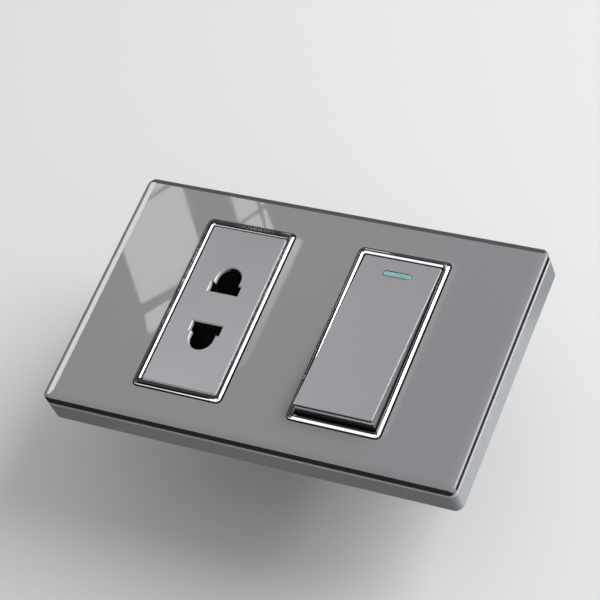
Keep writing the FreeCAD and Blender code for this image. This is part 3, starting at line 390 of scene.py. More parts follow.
def makeChrome(name, look):
    material, tree, shader = newFinish(name, Metallic=1.0)
    dust = useGroup(tree, dustGroup, Speck_Scale=1200.0, Wipe_Scale=90.0)
    colourFrom(tree, shader, dust.outputs["Wipes"], look["clean"], look["hazy"])
    roughFrom(tree, shader, dust.outputs["Wipes"], look["rough"], 0.0, 1.0)
    grain = useGroup(tree, grainGroup, Grain_Scale=look["waves"], Tone_Scale=60.0)
    bumpFrom(tree, shader, grain.outputs["Height"], look["bump"], look["depth"])
    return material


# moulded plastics with rubbed edges

mouldedLooks = {
    "blackNylon": {"dark": (0.002, 0.002, 0.0025), "light": (0.004, 0.004, 0.0045), "rough": (0.6, 0.78),
                   "depth": 0.02, "rubbed": (0.01, 0.01, 0.01), "gloss": 0.06},
    "charcoalNylon": {"dark": (0.024, 0.025, 0.027), "light": (0.034, 0.035, 0.037), "rough": (0.5, 0.68),
                      "depth": 0.04, "rubbed": (0.09, 0.09, 0.095), "gloss": 0.5},
    "darkHousing": {"dark": (0.019, 0.019, 0.021), "light": (0.028, 0.028, 0.030), "rough": (0.45, 0.63),
                    "depth": 0.03, "rubbed": (0.08, 0.08, 0.085), "gloss": 0.5},
    "whiteAcetal": {"dark": (0.66, 0.66, 0.63), "light": (0.74, 0.74, 0.71), "rough": (0.35, 0.53),
                    "depth": 0.01, "rubbed": (0.8, 0.8, 0.78), "gloss": 0.5},
}


def makeMoulded(name, look):
    material, tree, shader = newFinish(name, IOR=1.5, Specular_IOR_Level=look["gloss"])
    grain = useGroup(tree, grainGroup, Grain_Scale=3600.0, Tone_Scale=60.0)
    edges = useGroup(tree, edgeGroup, Start=0.54, Full=0.68, Break_Scale=800.0)
    tone = mixColours(tree, grain.outputs["Tone"], look["dark"], look["light"])
    faint = arithmetic(tree, "MULTIPLY", edges.outputs["Mask"], 0.35)
    colourFrom(tree, shader, faint, tone, look["rubbed"])
    roughFrom(tree, shader, grain.outputs["Height"], look["rough"])
    bumpFrom(tree, shader, grain.outputs["Height"], 0.35, look["depth"])
    return material


# bare and plated metals

metalLooks = {
    "zincPlate": {"clean": (0.60, 0.61, 0.62), "stained": (0.44, 0.45, 0.43), "rough": (0.26, 0.42)},
    "screwZinc": {"clean": (0.66, 0.66, 0.65), "stained": (0.50, 0.50, 0.48), "rough": (0.22, 0.38)},
    "turnedBrass": {"clean": (0.80, 0.60, 0.27), "stained": (0.62, 0.42, 0.17), "rough": (0.22, 0.38)},
    "contactBronze": {"clean": (0.76, 0.47, 0.28), "stained": (0.58, 0.31, 0.16), "rough": (0.24, 0.40)},
    "silverAlloy": {"clean": (0.86, 0.85, 0.83), "stained": (0.68, 0.66, 0.62), "rough": (0.2, 0.36)},
    "springSteel": {"clean": (0.52, 0.52, 0.51), "stained": (0.36, 0.36, 0.35), "rough": (0.24, 0.40)},
}


def makeMetal(name, look):
    material, tree, shader = newFinish(name, Metallic=1.0)
    rolled = useGroup(tree, rolledGroup, Line_Scale=2600.0, Stain_Scale=140.0)
    stains = arithmetic(tree, "MULTIPLY", rolled.outputs["Stains"], 0.6)
    colourFrom(tree, shader, stains, look["clean"], look["stained"])
    roughFrom(tree, shader, rolled.outputs["Lines"], look["rough"])
    bumpFrom(tree, shader, rolled.outputs["Lines"], 0.25, 0.01)
    return material


finishes = {}
for makeFinish, looks in ((makePaintedGlass, {"paintedGlass": glassLook}), (makeGrained, grainedLooks),
                          (makeSatinPaint, satinLooks), (makeChrome, {"chromePlating": chromeLook}),
                          (makeMoulded, mouldedLooks), (makeMetal, metalLooks)):
    for name, look in looks.items():
        finishes[name] = makeFinish(name, look)
print("finishes made:", len(finishes))


# forms

def addObject(name, data):
    item = bpy.data.objects.new(name, data)
    bpy.context.scene.collection.objects.link(item)
    return item


def boxOf(node):
    # width, height, middle x, and back and front level out from the wall, in mm
    low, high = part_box(node)
    return (high.x - low.x) / mm, (high.z - low.z) / mm, (low.x + high.x) / 2 / mm, -high.y / mm, -low.y / mm


def roundOutline(width, height, corner, x, level, steps=8, z=0.0):
    # points round a rectangle with round corners, at a height out from the wall, in mm
    points = []
    for sideX, sideZ, start in ((1, 1, 0), (-1, 1, 90), (-1, -1, 180), (1, -1, 270)):
        for i in range(steps + 1):
            angle = math.radians(start + 90 * i / steps)
            px = x + sideX * (width / 2 - corner) + corner * math.cos(angle)
            pz = z + sideZ * (height / 2 - corner) + corner * math.sin(angle)
            points.append(Vector((px, -level, pz)) * mm)
    return points


def loft(form, outlines, finish=0, closed=False):
    # skins a row of outlines with equal numbers of points
    rows = [[form.verts.new(p) for p in outline] for outline in outlines]
    pairs = list(zip(rows, rows[1:] + rows[:1])) if closed else list(zip(rows, rows[1:]))
    for number, (first, second) in enumerate(pairs):
        for i in range(len(first)):
            j = (i + 1) % len(first)
            face = form.faces.new((first[i], first[j], second[j], second[i]))
            face.material_index = finish(number) if callable(finish) else finish
            face.smooth = True
    return rows


def loopEdges(form, row):
    return [form.edges.get((row[i], row[(i + 1) % len(row)])) for i in range(len(row))]


def block(form, low, high):
    # corners in mm, as x, level and z
    corners = [form.verts.new(Vector((x, -y, z)) * mm) for x in (low[0], high[0]) for y in (low[1], high[1])
               for z in (low[2], high[2])]
    for face in ((0, 1, 3, 2), (4, 6, 7, 5), (0, 4, 5, 1), (2, 3, 7, 6), (0, 2, 6, 4), (1, 5, 7, 3)):
        form.faces.new([corners[i] for i in face])


def standFor(piece, node):
    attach(piece, nodes[node]["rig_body"])
    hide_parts(node)


def toPiece(form, name, node, finishNames, sharpAngle=35):
    bmesh.ops.recalc_face_normals(form, faces=form.faces)
    mesh = bpy.data.meshes.new(name)
    form.to_mesh(mesh)
    form.free()
    mesh.shade_smooth()
    mesh.set_sharp_from_angle(angle=math.radians(sharpAngle))
    for finish in finishNames:
        mesh.materials.append(finishes[finish])
    piece = addObject(name, mesh)
    standFor(piece, node)
    return piece


def creaseFlat(piece, direction):
    # a flat that faces one way keeps its own normals where it meets a rounded edge
    mesh = piece.data
    flat, curved = set(), set()
    for face in mesh.polygons:
        (flat if face.normal.dot(direction) > 0.99999 else curved).update(face.edge_keys)
    for edge in mesh.edges:
        if edge.key in flat and edge.key in curved:
            edge.use_edge_sharp = True


# glass front: a softly rounded rim, blackened sides with painted shade reaching over the rim, and two windows

def makeGlassFront():
    shape = {"corner": 2.2, "leastCorner": 0.3, "rimWide": 2.6, "rimDeep": 0.75, "rimFoot": 0.4, "rimSteps": 12,
             "topShare": 0.6,  # the rim is narrower along the top
             "windowGap": 0.2, "windowCorner": 1.4, "windowArris": 0.2,
             # how far the blackened edge and its painted shade reach in from each side; along the top it is the
             # darker painted shade border
             "paintedShadeTo": {"top": 1.5, "left": 0.3, "right": 0.1, "bottom": 0.55}}
    width, height, _, back, front = boxOf("glass_panel")
    topShare, paintedShadeTo = shape["topShare"], shape["paintedShadeTo"]
    form = bmesh.new()
    rim = [(0.0, back), (0.0, back + shape["rimFoot"])]
    for i in range(shape["rimSteps"] + 1):
        turn = math.radians(90 - 90 * i / shape["rimSteps"])
        rim.append((shape["rimWide"] * (1 - math.sin(turn)), front - shape["rimDeep"] * (1 - math.cos(turn))))
    outlines = []
    for inset, level in rim:
        corner = max(shape["corner"] - inset, shape["leastCorner"])
        outlines.append(roundOutline(width - 2 * inset, height - inset * (1 + topShare), corner, 0, level,
                                     z=inset * (1 - topShare) / 2))
    outer = loft(form, outlines)
    for face in form.faces:
        middle = face.calc_center_median() / mm
        room = {"top": height / 2 - middle.z, "left": width / 2 + middle.x,
                "right": width / 2 - middle.x, "bottom": height / 2 + middle.z}
        side = min(room, key=room.get)
        # painted shade: rim faces this close to a side take the black edge finish, and along the top the darker
        # border
        if room[side] <= paintedShadeTo[side]:
            face.material_index = 2 if side == "top" else 1
    frontEdges, backEdges = loopEdges(form, outer[-1]), loopEdges(form, outer[0])
    gap, arris, corner = shape["windowGap"], shape["windowArris"], shape["windowCorner"]
    lines = [(arris, front), (arris * 0.35, front - arris * 0.25), (0.0, front - arris), (0.0, back)]
    for trim in ("outlet_trim", "switch_trim"):
        wide, tall, x, _, _ = boxOf(trim)
        rows = loft(form, [roundOutline(wide + 2 * (gap + grow), tall + 2 * (gap + grow), corner + grow, x, level)
                           for grow, level in lines], 1)
        frontEdges += loopEdges(form, rows[0])
        backEdges += loopEdges(form, rows[-1])
    for edges, finish in ((frontEdges, 0), (backEdges, 1)):
        made = bmesh.ops.triangle_fill(form, use_beauty=True, edges=edges)
        for face in made["geom"]:
            if isinstance(face, bmesh.types.BMFace):
                face.material_index = finish
                face.smooth = True
    piece = toPiece(form, "glassFront", "glass_panel", ("paintedGlass", "groundGlassEdge", "shadedBorder"))
    creaseFlat(piece, Vector((0.0, -1.0, 0.0)))


# trim rings: plated, sloped outside and curved down to the opening

rings = {
    # the bar's width in mm, and the inner edge's share of its full curve
    "outlet_trim": {"piece": "outletRing", "wall": 1.7, "curveScale": 0.6},
    "switch_trim": {"piece": "switchRing", "wall": 1.5, "curveScale": 0.75},
}
ringShape = {"corner": 1.2, "innerCorner": 0.6, "cornerSteps": 9, "sharpAngle": 12.5,
             # strips of the two rounded edges from the outside in: widths in mm and how far each leans
             "outerCurve": [(0.08, 56), (0.10, 46), (0.14, 35), (0.26, 24)],
             "innerCurve": [(0.20, 28), (0.16, 37), (0.12, 46), (0.08, 55), (0.06, 64)]}
lugShape = {"cadWall": 1.5, "thick": 0.8, "long": 5.0, "inset": 10.3, "deep": 0.9, "sunk": 0.02}


def makeTrimRing(node, ring):
    wide, tall, x, back, top = boxOf(node)
    foot, wall, outerCurve = back + lugShape["deep"], ring["wall"], ringShape["outerCurve"]
    innerCurve = [(width * ring["curveScale"], lean) for width, lean in ringShape["innerCurve"]]
    inset, level = 0.0, top - sum(width * math.tan(math.radians(lean)) for width, lean in outerCurve)
    profile = [(0.0, foot), (inset, level)]
    for width, lean in outerCurve:
        inset, level = inset + width, level + width * math.tan(math.radians(lean))
        profile.append((inset, level))
    inset = wall - sum(width for width, _ in innerCurve)
    profile.append((inset, level))
    for width, lean in innerCurve:
        inset, level = inset + width, level - width * math.tan(math.radians(lean))
        profile.append((inset, level))
    profile.append((wall, foot))
    outlines = []
    for inset, level in profile:
        corner = ringShape["corner"] + (ringShape["innerCorner"] - ringShape["corner"]) * inset / wall
        outlines.append(roundOutline(wide - 2 * inset, tall - 2 * inset, corner, x, level,
                                     ringShape["cornerSteps"]))
    form = bmesh.new()
    loft(form, outlines, closed=True)
    halfThick, halfLong = lugShape["thick"] / 2, lugShape["long"] / 2
    for sideX in (-1, 1):
        for sideZ in (-1, 1):
            lugX = x + (wide - lugShape["cadWall"]) / 2 * sideX
            lugZ = (tall / 2 - lugShape["inset"]) * sideZ
            block(form, (lugX - halfThick, back, lugZ - halfLong),
                  (lugX + halfThick, foot + lugShape["sunk"], lugZ + halfLong))
    toPiece(form, ring["piece"], node, ("chromePlating",), ringShape["sharpAngle"])


makeGlassFront()
for node, ring in rings.items():
    makeTrimRing(node, ring)
print("glass and rings made")


# rocker cap and its indicator, drawn flat about the pivot and then tilted to rest

rocker = {"pivotLevel": 6.8, "pivotX": 22.5, "tilt": -4.0, "width": 21.9, "height": 48.4, "top": 5.0,
          "lensLength": 8.1, "lensHeight": 1.75, "lensZ": 19.6, "lensDepth": 0.7}


def tiltToRest(form):
    turn = Matrix.Rotation(math.radians(rocker["tilt"]), 4, "X")
    move = Matrix.Translation(Vector((rocker["pivotX"], -rocker["pivotLevel"], 0.0)) * mm)
    bmesh.ops.transform(form, matrix=move @ turn, verts=form.verts)


def lensOutline(grow, level):
    # the indicator's round-ended outline, grown or shrunk all round; a hair keeps its ends from closing up
    high = rocker["lensHeight"] + 2 * grow
    return roundOutline(rocker["lensLength"] + 2 * grow, high, high / 2 - 0.001, 0, level, z=rocker["lensZ"])


def makeRockerCap():
    shape = {"corner": 0.5, "wall": 1.2, "plate": 1.6, "skirt": 4.6, "skirtArris": 0.1, "edge": 0.25,
             "edgeSteps": 4, "lipFrom": 0.45, "lipTo": 1.3, "wellGap": 0.03, "wellArris": 0.08,
             "footX": 5.6, "footZ": 13.5, "footHalf": 1.3, "footEnd": 2.2, "footSunk": 0.02}
    wide, tall, top, edge = rocker["width"], rocker["height"], rocker["top"], shape["edge"]
    bottom, inner, wall = top - shape["skirt"], top - shape["plate"], shape["wall"]
    lipFrom, lipTo, arris = shape["lipFrom"], shape["lipTo"], shape["skirtArris"]
    rows = [(wall, inner), (wall, bottom + arris), (wall - arris, bottom), (arris, bottom), (0.0, bottom + arris)]
    rows += [(0.0, top - edge - lipTo), (0.0, top - edge - lipFrom)]
    wallRows = len(rows)
    for i in range(shape["edgeSteps"] + 1):
        angle = math.radians(90 * i / shape["edgeSteps"])
        rows.append((edge * (1 - math.cos(angle)), top - edge * (1 - math.sin(angle))))
    form = bmesh.new()
    skin = loft(form, [roundOutline(wide - 2 * inset, tall - 2 * inset, shape["corner"], 0, level, 5)
                       for inset, level in rows], lambda i: 2 if i >= wallRows else 1)
    for face in form.faces:
        # painted highlight and shade: the lower wall has a light band under its edge, standing in for a reflection
        # there, and painted shade elsewhere
        middle = face.calc_center_median() / mm
        if middle.z < -(tall / 2 - shape["corner"] * 0.4):
            face.material_index = 4 if lipFrom < top - edge + middle.y < lipTo else 3
    form.faces.new(skin[0]).material_index = 1
    gap, arris = shape["wellGap"], shape["wellArris"]
    recess = [(arris, top), (arris * 0.3, top - arris * 0.3), (0.0, top - arris), (0.0, top - rocker["lensDepth"])]
    well = loft(form, [lensOutline(gap + grow, level) for grow, level in recess], lambda i: 1 if i == 2 else 0)
    form.faces.new(well[-1]).material_index = 1
    front = loopEdges(form, skin[-1]) + loopEdges(form, well[0])
    bmesh.ops.triangle_fill(form, use_beauty=True, edges=front)
    half = shape["footHalf"]
    for x in (-shape["footX"], shape["footX"]):
        for z in (-shape["footZ"], shape["footZ"]):
            block(form, (x - half, shape["footEnd"], z - half), (x + half, inner + shape["footSunk"], z + half))
    tiltToRest(form)
    finishNames = ("pearlGrey", "capSide", "pearlEdge", "capUnder", "capLip")
    piece = toPiece(form, "rockerCap", "rocker_button", finishNames, 30)
    turn = Matrix.Rotation(math.radians(rocker["tilt"]), 3, "X")
    creaseFlat(piece, turn @ Vector((0.0, -1.0, 0.0)))


def makeIndicator():
    # a slightly crowned bar with a thin shadow gap round it; the crown is insets and drops in mm
    shape = {"gap": 0.14, "crown": [(0.0, 0.14), (0.04, 0.06), (0.14, 0.01), (0.34, -0.02)]}
    rows = [(0.0, rocker["lensDepth"])] + shape["crown"]
    form = bmesh.new()
    skin = loft(form, [lensOutline(-shape["gap"] - inset, rocker["top"] - drop) for inset, drop in rows])
    form.faces.new(skin[0])
    form.faces.new(skin[-1])
    tiltToRest(form)
    toPiece(form, "indicatorLens", "indicator_lens", ("afterglowLens",), 50)


makeRockerCap()
makeIndicator()
print("rocker cap and indicator made")


# springs: round wire with closed end turns, drawn out from their fixed ends

springs = {
    # the fixed end in mm, the way from it to the moving end, and the joint that presses the spring
    "shutter_spring": {"piece": "shutterCoil", "fixedEnd": (-14.2, -6.45, 8.0), "along": (0.0, 0.0, -1.0),
                       "length": 20.3, "coil": 0.9, "wire": 0.15, "turns": 9,
                       "joint": "shutter_slide", "travel": 8.2},
    "plunger_spring": {"piece": "plungerCoil", "fixedEnd": (22.5, -7.7976, 0.0698),
                       "along": (0.0, 0.99756, -0.06976), "length": 4.4, "coil": 1.45, "wire": 0.18,
                       "turns": 6, "joint": "plunger_slide", "travel": 1.0},
}
springWire = {"endGap": 0.05, "closedPitch": 2.2, "turnSteps": 24, "sides": 8}


def makeSpring(node, spring):
    endGap, turnSteps, sides = springWire["endGap"], springWire["turnSteps"], springWire["sides"]
    fixedEnd, along, length = Vector(spring["fixedEnd"]), Vector(spring["along"]), spring["length"]
    coil, wire, turns = spring["coil"], spring["wire"], spring["turns"]
    first = Vector((1.0, 0.0, 0.0))
    second = along.cross(first)
    closedRise = springWire["closedPitch"] * wire
    openRise = (length - 2 * wire - 2 * closedRise) / (turns - 2)
    outlines = []
    for i in range(turns * turnSteps + 1):
        done = i / turnSteps
        openTurns = min(max(done - 1, 0), turns - 2)
        rise = wire + openTurns * openRise + (done - openTurns) * closedRise
        outward = first * math.cos(math.tau * done) + second * math.sin(math.tau * done)
        centre = fixedEnd + along * (endGap + rise) + outward * coil
        section = []
        for j in range(sides):
            turn = math.tau * j / sides
            section.append((centre + (outward * math.cos(turn) + along * math.sin(turn)) * wire) * mm)
        outlines.append(section)
    form = bmesh.new()
    rows = loft(form, outlines)
    form.faces.new(rows[0])
    form.faces.new(rows[-1])
    piece = toPiece(form, spring["piece"], node, ("springSteel",), 60)
    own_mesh(piece)


for node, spring in springs.items():
    makeSpring(node, spring)
print("springs made")


# moulded and stamped pieces: the node's own form with small rounded edges

softPieces = {
    # edge width in mm; a painted shade land is a front level in mm that has a finish of its own, dark as the shade
    # under the glass
    "bonding_sheet": {"piece": "bondingLayer", "finish": "bondingFoam", "edge": 0.08, "steps": 2},
    "cover_frame": {"piece": "coverShell", "finish": "silverPaint", "edge": 0.12, "steps": 3,
                    "land": {"finish": "bondingFoam", "level": 7.0}},
    "outlet_face": {"piece": "outletFace", "finish": "pearlFace", "edge": 0.10, "steps": 3},
    "mounting_frame": {"piece": "mountingFrame", "finish": "charcoalNylon", "edge": 0.12, "steps": 2},
    "steel_strap": {"piece": "steelStrap", "finish": "zincPlate", "edge": 0.08, "steps": 2},
    "outlet_housing": {"piece": "outletHousing", "finish": "darkHousing", "edge": 0.10, "steps": 2},
    "switch_housing": {"piece": "switchHousing", "finish": "darkHousing", "edge": 0.10, "steps": 2},
    "outlet_shutter": {"piece": "safetyShutter", "finish": "blackNylon", "edge": 0.08, "steps": 2},
    "rocker_carrier": {"piece": "rockerCarrier", "finish": "whiteAcetal", "edge": 0.08, "steps": 2},
}
softAngles = {"flat": 0.5, "round": 30}  # faces within the first are joined, edges above the second rounded


def skinArea(mesh):
    mesh.calc_loop_triangles()
    return sum(triangle.area for triangle in mesh.loop_triangles)


def softCopy(node, look):
    mesh = nodes[node].data.copy()
    mesh.name = look["piece"]
    for attribute in ("custom_normal", "sharp_edge", "sharp_face"):
        if attribute in mesh.attributes:
            mesh.attributes.remove(mesh.attributes[attribute])
    whole = skinArea(mesh)
    form = bmesh.new()
    form.from_mesh(mesh)
    bmesh.ops.remove_doubles(form, verts=form.verts, dist=0.001 * mm)
    joined = form.copy()
    bmesh.ops.dissolve_limit(joined, angle_limit=math.radians(softAngles["flat"]), verts=joined.verts,
                             edges=joined.edges)
    joined.to_mesh(mesh)
    if abs(skinArea(mesh) / whole - 1) > 0.001:  # a joined face came out wrong
        print("kept in triangles:", node, round(skinArea(mesh) / whole, 4))
        form.to_mesh(mesh)
    joined.free()
    form.free()
    mesh.shade_smooth()
    mesh.materials.clear()
    mesh.materials.append(finishes[look["finish"]])
    # painted shade: the cover's front faces at this level, under the glass, take the black foam finish
    if "land" in look:
        mesh.materials.append(finishes[look["land"]["finish"]])
        for face in mesh.polygons:
            if face.normal.y < -0.99 and abs(face.center.y + look["land"]["level"] * mm) < 0.1 * mm:
                face.material_index = 1
    piece = addObject(look["piece"], mesh)
    edges = piece.modifiers.new("softEdges", "BEVEL")
    edges.width = look["edge"] * mm
    edges.segments = look["steps"]
    edges.limit_method = "ANGLE"
    edges.angle_limit = math.radians(softAngles["round"])
    edges.harden_normals = True
    flats = piece.modifiers.new("flatFaces", "WEIGHTED_NORMAL")
    flats.keep_sharp = True
    standFor(piece, node)


for node, look in softPieces.items():
    softCopy(node, look)

# small metal pieces and the plunger keep their own form
plainPieces = {
    "contactBronze": ("outlet_contact_upper", "outlet_contact_lower", "moving_contact", "fixed_contact",
                      "common_contact"),
    "turnedBrass": ("outlet_terminal_upper", "outlet_terminal_lower", "switch_terminal_fixed",
                    "switch_terminal_common"),
    "screwZinc": ("outlet_terminal_screws", "outlet_screws", "switch_terminal_screws"),
    "silverAlloy": ("moving_tip", "fixed_tip"),
    "whiteAcetal": ("plunger",),
}
for finish, plainNodes in plainPieces.items():
    for node in plainNodes:
        nodes[node].data.materials.clear()
        nodes[node].data.materials.append(finishes[finish])
print("pieces dressed:", len(softPieces) + sum(len(plainNodes) for plainNodes in plainPieces.values()))


# camera at the photograph's place

view = {
    "place": (0.25511, -0.48843, -0.24896),
    "right": (0.88688, 0.27484, 0.37136),
    "up": (-0.17867, -0.53722, 0.82430),
    "back": (0.42605, -0.79741, -0.42734),
    "lens": 138.96,
    "sensor": 36.0,
}
cameraData = bpy.data.cameras.new("camera")
cameraData.lens = view["lens"]
cameraData.sensor_width = view["sensor"]
camera = addObject("camera", cameraData)
turn = Matrix((view["right"], view["up"], view["back"])).transposed()
camera.matrix_world = Matrix.Translation(view["place"]) @ turn.to_4x4()
bpy.context.scene.camera = camera


# pale wall and floor, seen from their front sides only

room = {"wallY": 0.040, "floorZ": -0.30, "half": 3.0,
        "wallTone": (0.80, 0.805, 0.81), "floorTone": (0.80, 0.80, 0.80)}


def paleSurface(name, corners, tone):
    mesh = bpy.data.meshes.new(name)
    mesh.from_pydata([Vector(c) for c in corners], [], [(0, 1, 2, 3)])
    piece = addObject(name, mesh)
    material, tree, shader = newFinish(name + "Paper", Base_Color=(*tone, 1.0), Roughness=0.9,
                                       Specular_IOR_Level=0.1)
    side = place(tree, "ShaderNodeNewGeometry")
    clear = place(tree, "ShaderNodeBsdfTransparent")
    both = place(tree, "ShaderNodeMixShader")
    tree.links.new(side.outputs["Backfacing"], both.inputs[0])
    tree.links.new(shader.outputs[0], both.inputs[1])
    tree.links.new(clear.outputs[0], both.inputs[2])
    tree.links.new(both.outputs[0], tree.nodes["Material Output"].inputs["Surface"])
    mesh.materials.append(material)
    piece.visible_diffuse = False
    piece.visible_shadow = False


half, wallY, floorZ = room["half"], room["wallY"], room["floorZ"]
paleSurface("backWall", [(-half, wallY, floorZ), (half, wallY, floorZ), (half, wallY, half), (-half, wallY, half)],
            room["wallTone"])
paleSurface("floor", [(-half, -half, floorZ), (half, -half, floorZ), (half, half, floorZ), (-half, half, floorZ)],
            room["floorTone"])


# one large lamp on the right, aimed at the plate

keyLight = {"at": (0.80, -0.80, 0.56), "size": (0.75, 0.95), "power": 13.5, "tint": (1.0, 0.995, 0.985)}
lampData = bpy.data.lights.new("keyLight", "AREA")
lampData.shape = "RECTANGLE"
lampData.size, lampData.size_y = keyLight["size"]
lampData.energy = keyLight["power"]
lampData.color = keyLight["tint"]
lamp = addObject("keyLight", lampData)
aim = (-Vector(keyLight["at"])).to_track_quat("-Z", "Y")
lamp.matrix_world = Matrix.Translation(keyLight["at"]) @ aim.to_matrix().to_4x4()
lamp.visible_camera = False


# bright and black cards that only show in reflections

def glossyCard(name, outlines, strength, tint=(1.0, 1.0, 1.0), fade=None):
    # outlines in metres; a fade goes to another strength lower down
    mesh = bpy.data.meshes.new(name)
    points, faces = [], []
    for outline in outlines:
        faces.append(tuple(range(len(points), len(points) + len(outline))))
        points += [Vector(c) for c in outline]
    mesh.from_pydata(points, [], faces)
    piece = addObject(name, mesh)
    material = bpy.data.materials.new(name + "Glow")
    material.use_nodes = True
    tree = material.node_tree
    tree.nodes.clear()
    glow = place(tree, "ShaderNodeEmission", {"Color": (*tint, 1.0), "Strength": strength})
    out = place(tree, "ShaderNodeOutputMaterial")
    tree.links.new(glow.outputs[0], out.inputs["Surface"])
    if fade:
        height = axisOf(tree, objectPoint(tree), "Z")
        faded = spread(tree, height, fade["low"], fade["high"], fade["strength"], strength)
        tree.links.new(faded, glow.inputs["Strength"])
    mesh.materials.append(material)
    piece.visible_camera = False
    piece.visible_diffuse = False
    piece.visible_shadow = False
    piece.visible_transmission = False


def paneAt(x, z, plane=-1.5, glass=-0.0098):
    # from where a pane shows on the glass, in mm from its middle, to its place on a plane in front
    mirrored = Vector((view["place"][0], 2 * glass - view["place"][1], view["place"][2]))
    seen = Vector((x * mm, glass, z * mm))
    return mirrored + (seen - mirrored) * ((plane - mirrored.y) / (glass - mirrored.y))


def flatCard(low, high):
    # the four corners of a card that is flat along one axis
    axis = min(range(3), key=lambda i: high[i] - low[i])
    first, second = [i for i in range(3) if i != axis]
    corners = []
    for a, b in ((low, low), (high, low), (high, high), (low, high)):
        corner = list(low)
        corner[first], corner[second] = a[first], b[second]
        corners.append(tuple(corner))
    return corners


# a window with its bars, two soft strips and a glint, drawn where they show on the glass
panes = {
    "windowPanes": {"strength": 4.6, "tint": (0.99, 1.0, 1.0), "outlines": [
        [(-61.5, 21.7), (-49.5, 37.0), (-48.2, 34.7), (-35.9, 19.0), (-35.75, 18.8), (-35.75, 5.3),
         (-43.6, -3.1), (-44.1, -2.6), (-56.4, 11.9), (-61.7, 18.2)],
        [(-62.5, 22.5), (-50.5, 37.7), (-64.0, 40.0)],
        [(-41.3, -6.0), (-35.75, 0.7), (-35.75, -9.2), (-37.4, -11.1), (-37.9, -11.0)],
        [(-33.2, 34.7), (-36.0, 39.0), (-29.0, 41.0), (-25.5, 34.7), (-23.4, 32.2), (-26.9, 27.2),
         (-27.5, 27.3)],
        [(-22.8, 31.1), (-19.4, 26.75), (-25.9, 26.75)],
        [(-24.0, 34.6), (-25.5, 36.8), (-23.9, 38.0), (-22.4, 34.2), (-22.9, 33.1)],
        [(-21.6, 32.9), (-16.5, 26.75), (-18.7, 26.75), (-22.1, 32.1)]]},
    "ghostBeside": {"strength": 4.2, "outlines": [[(-9.9, 25.4), (-7.1, 25.4), (-7.1, -14.2), (-9.9, -16.6)]],
                    "fade": {"low": paneAt(-8.0, -15.0).z, "high": paneAt(-8.0, 25.0).z, "strength": 0.8}},
    "cornerGlint": {"strength": 1.0, "outlines": [[(34.0, 24.4), (36.3, 24.4), (36.3, 26.7), (34.0, 26.7)]]},
    "ghostRight": {"strength": 1.1, "outlines": [[(35.7, 25.5), (37.1, 25.5), (37.1, -25.5), (35.7, -25.5)]]},
}
for name, pane in panes.items():
    outlines = [[paneAt(x, z) for x, z in outline] for outline in pane["outlines"]]
    glossyCard(name, outlines, pane["strength"], pane.get("tint", (1.0, 1.0, 1.0)), pane.get("fade"))

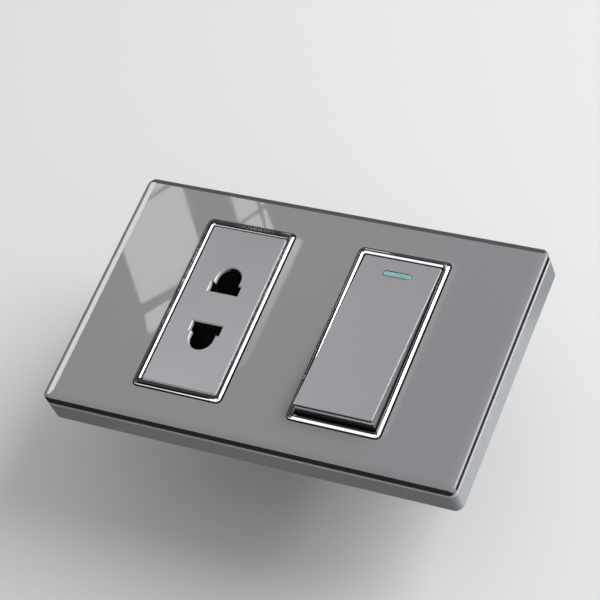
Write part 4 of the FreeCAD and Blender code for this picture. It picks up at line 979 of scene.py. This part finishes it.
# flags and screens round the object, in metres: low and high corners of flat cards, or a sheet's outline
sheetJoin = [(-0.43, -0.9), (-0.41, -0.844), (-0.29, -0.557), (-0.22, -0.373), (-0.175, -0.265), (-0.163, -0.20)]
flags = {
    "blackFlags": {"strength": 0.045, "cards": [
        ((-1.6, -1.6, -0.10), (0.45, -1.6, 1.5)),
        ((-1.6, -1.6, -0.6), (-1.6, 0.035, 1.5)),
        ((-1.6, -1.6, 1.5), (1.2, 0.6, 1.5)),
        ((-1.6, 0.036, -0.29), (-0.0625, 0.036, 1.5)),
        ((-0.0625, 0.036, 0.0405), (1.2, 0.036, 1.5))]},
    # below them the dark gives way softly to the pale room
    "lowerFlag": {"strength": 0.045, "cards": [((-1.6, -1.6, -0.295), (0.45, -1.6, -0.10))],
                  "fade": {"low": -0.28, "high": -0.11, "strength": 0.8}},
    # a black sheet on the floor that only the outlet's ring sees, and a white one beside it for the switch's
    "floorSheet": {"strength": 0.0, "z": -0.285, "sheet": [(-1.6, -0.9), *sheetJoin, (-1.6, -0.20)]},
    "floorGlow": {"strength": 1.25, "z": -0.284,
                  "sheet": [*sheetJoin, (-0.163, 0.0), (-0.03, 0.0), (-0.03, -0.9)]},
    # what the upper left of the switch's ring sees
    "greyPatches": {"strength": 0.65, "cards": [((-0.70, -0.42, 1.495), (-0.628, 0.036, 1.495)),
                                                ((-1.595, -0.52, 0.815), (-1.595, -0.36, 0.92))]},
    "underCard": {"strength": 0.25, "cards": [((-1.6, 0.036, -0.29), (1.2, 0.036, -0.0405))]},
    # the bright line along the glass's left rim
    "rimStrip": {"strength": 8.5, "cards": [((-1.58, -1.5, 0.30), (-1.10, -1.5, 1.2)),
                                            ((-1.58, -1.5, 0.30), (-1.58, -1.08, 1.2))]},
    "whiteScreen": {"strength": 1.2, "cards": [((0.45, -1.6, -0.28), (2.4, -1.6, 1.5))]},
}
for name, flag in flags.items():
    if "sheet" in flag:
        outlines = [[(x, y, flag["z"]) for x, y in flag["sheet"]]]
    else:
        outlines = [flatCard(low, high) for low, high in flag["cards"]]
    glossyCard(name, outlines, flag["strength"], fade=flag.get("fade"))


# world: pale where it is seen, and a soft slope of light for everything else

worldLook = {"slope": (0.30, -0.10, 0.34), "middle": 0.45, "seen": (0.86, 0.865, 0.87, 1.0)}
world = bpy.data.worlds.new("studio")
bpy.context.scene.world = world
world.use_nodes = True
sky = world.node_tree
sky.nodes.clear()
rays = place(sky, "ShaderNodeLightPath")
direction = place(sky, "ShaderNodeTexCoord")
slope = place(sky, "ShaderNodeVectorMath", operation="DOT_PRODUCT")
slope.inputs[1].default_value = worldLook["slope"]
sky.links.new(direction.outputs["Generated"], slope.inputs[0])
level = arithmetic(sky, "ADD", slope.outputs["Value"], worldLook["middle"], clamp=True)
soft = place(sky, "ShaderNodeBackground", {"Color": (1.0, 1.0, 1.0, 1.0)})
sky.links.new(level, soft.inputs["Strength"])
pale = place(sky, "ShaderNodeBackground", {"Color": worldLook["seen"], "Strength": 1.0})
seen = arithmetic(sky, "ADD", rays.outputs["Is Camera Ray"], rays.outputs["Is Glossy Ray"], clamp=True)
seen = arithmetic(sky, "ADD", seen, rays.outputs["Is Transmission Ray"], clamp=True)
both = place(sky, "ShaderNodeMixShader")
sky.links.new(seen, both.inputs[0])
sky.links.new(soft.outputs[0], both.inputs[1])
sky.links.new(pale.outputs[0], both.inputs[2])
out = place(sky, "ShaderNodeOutputWorld")
sky.links.new(both.outputs[0], out.inputs["Surface"])
print("stage and lights set")

bpy.context.scene.view_settings.view_transform = "Standard"
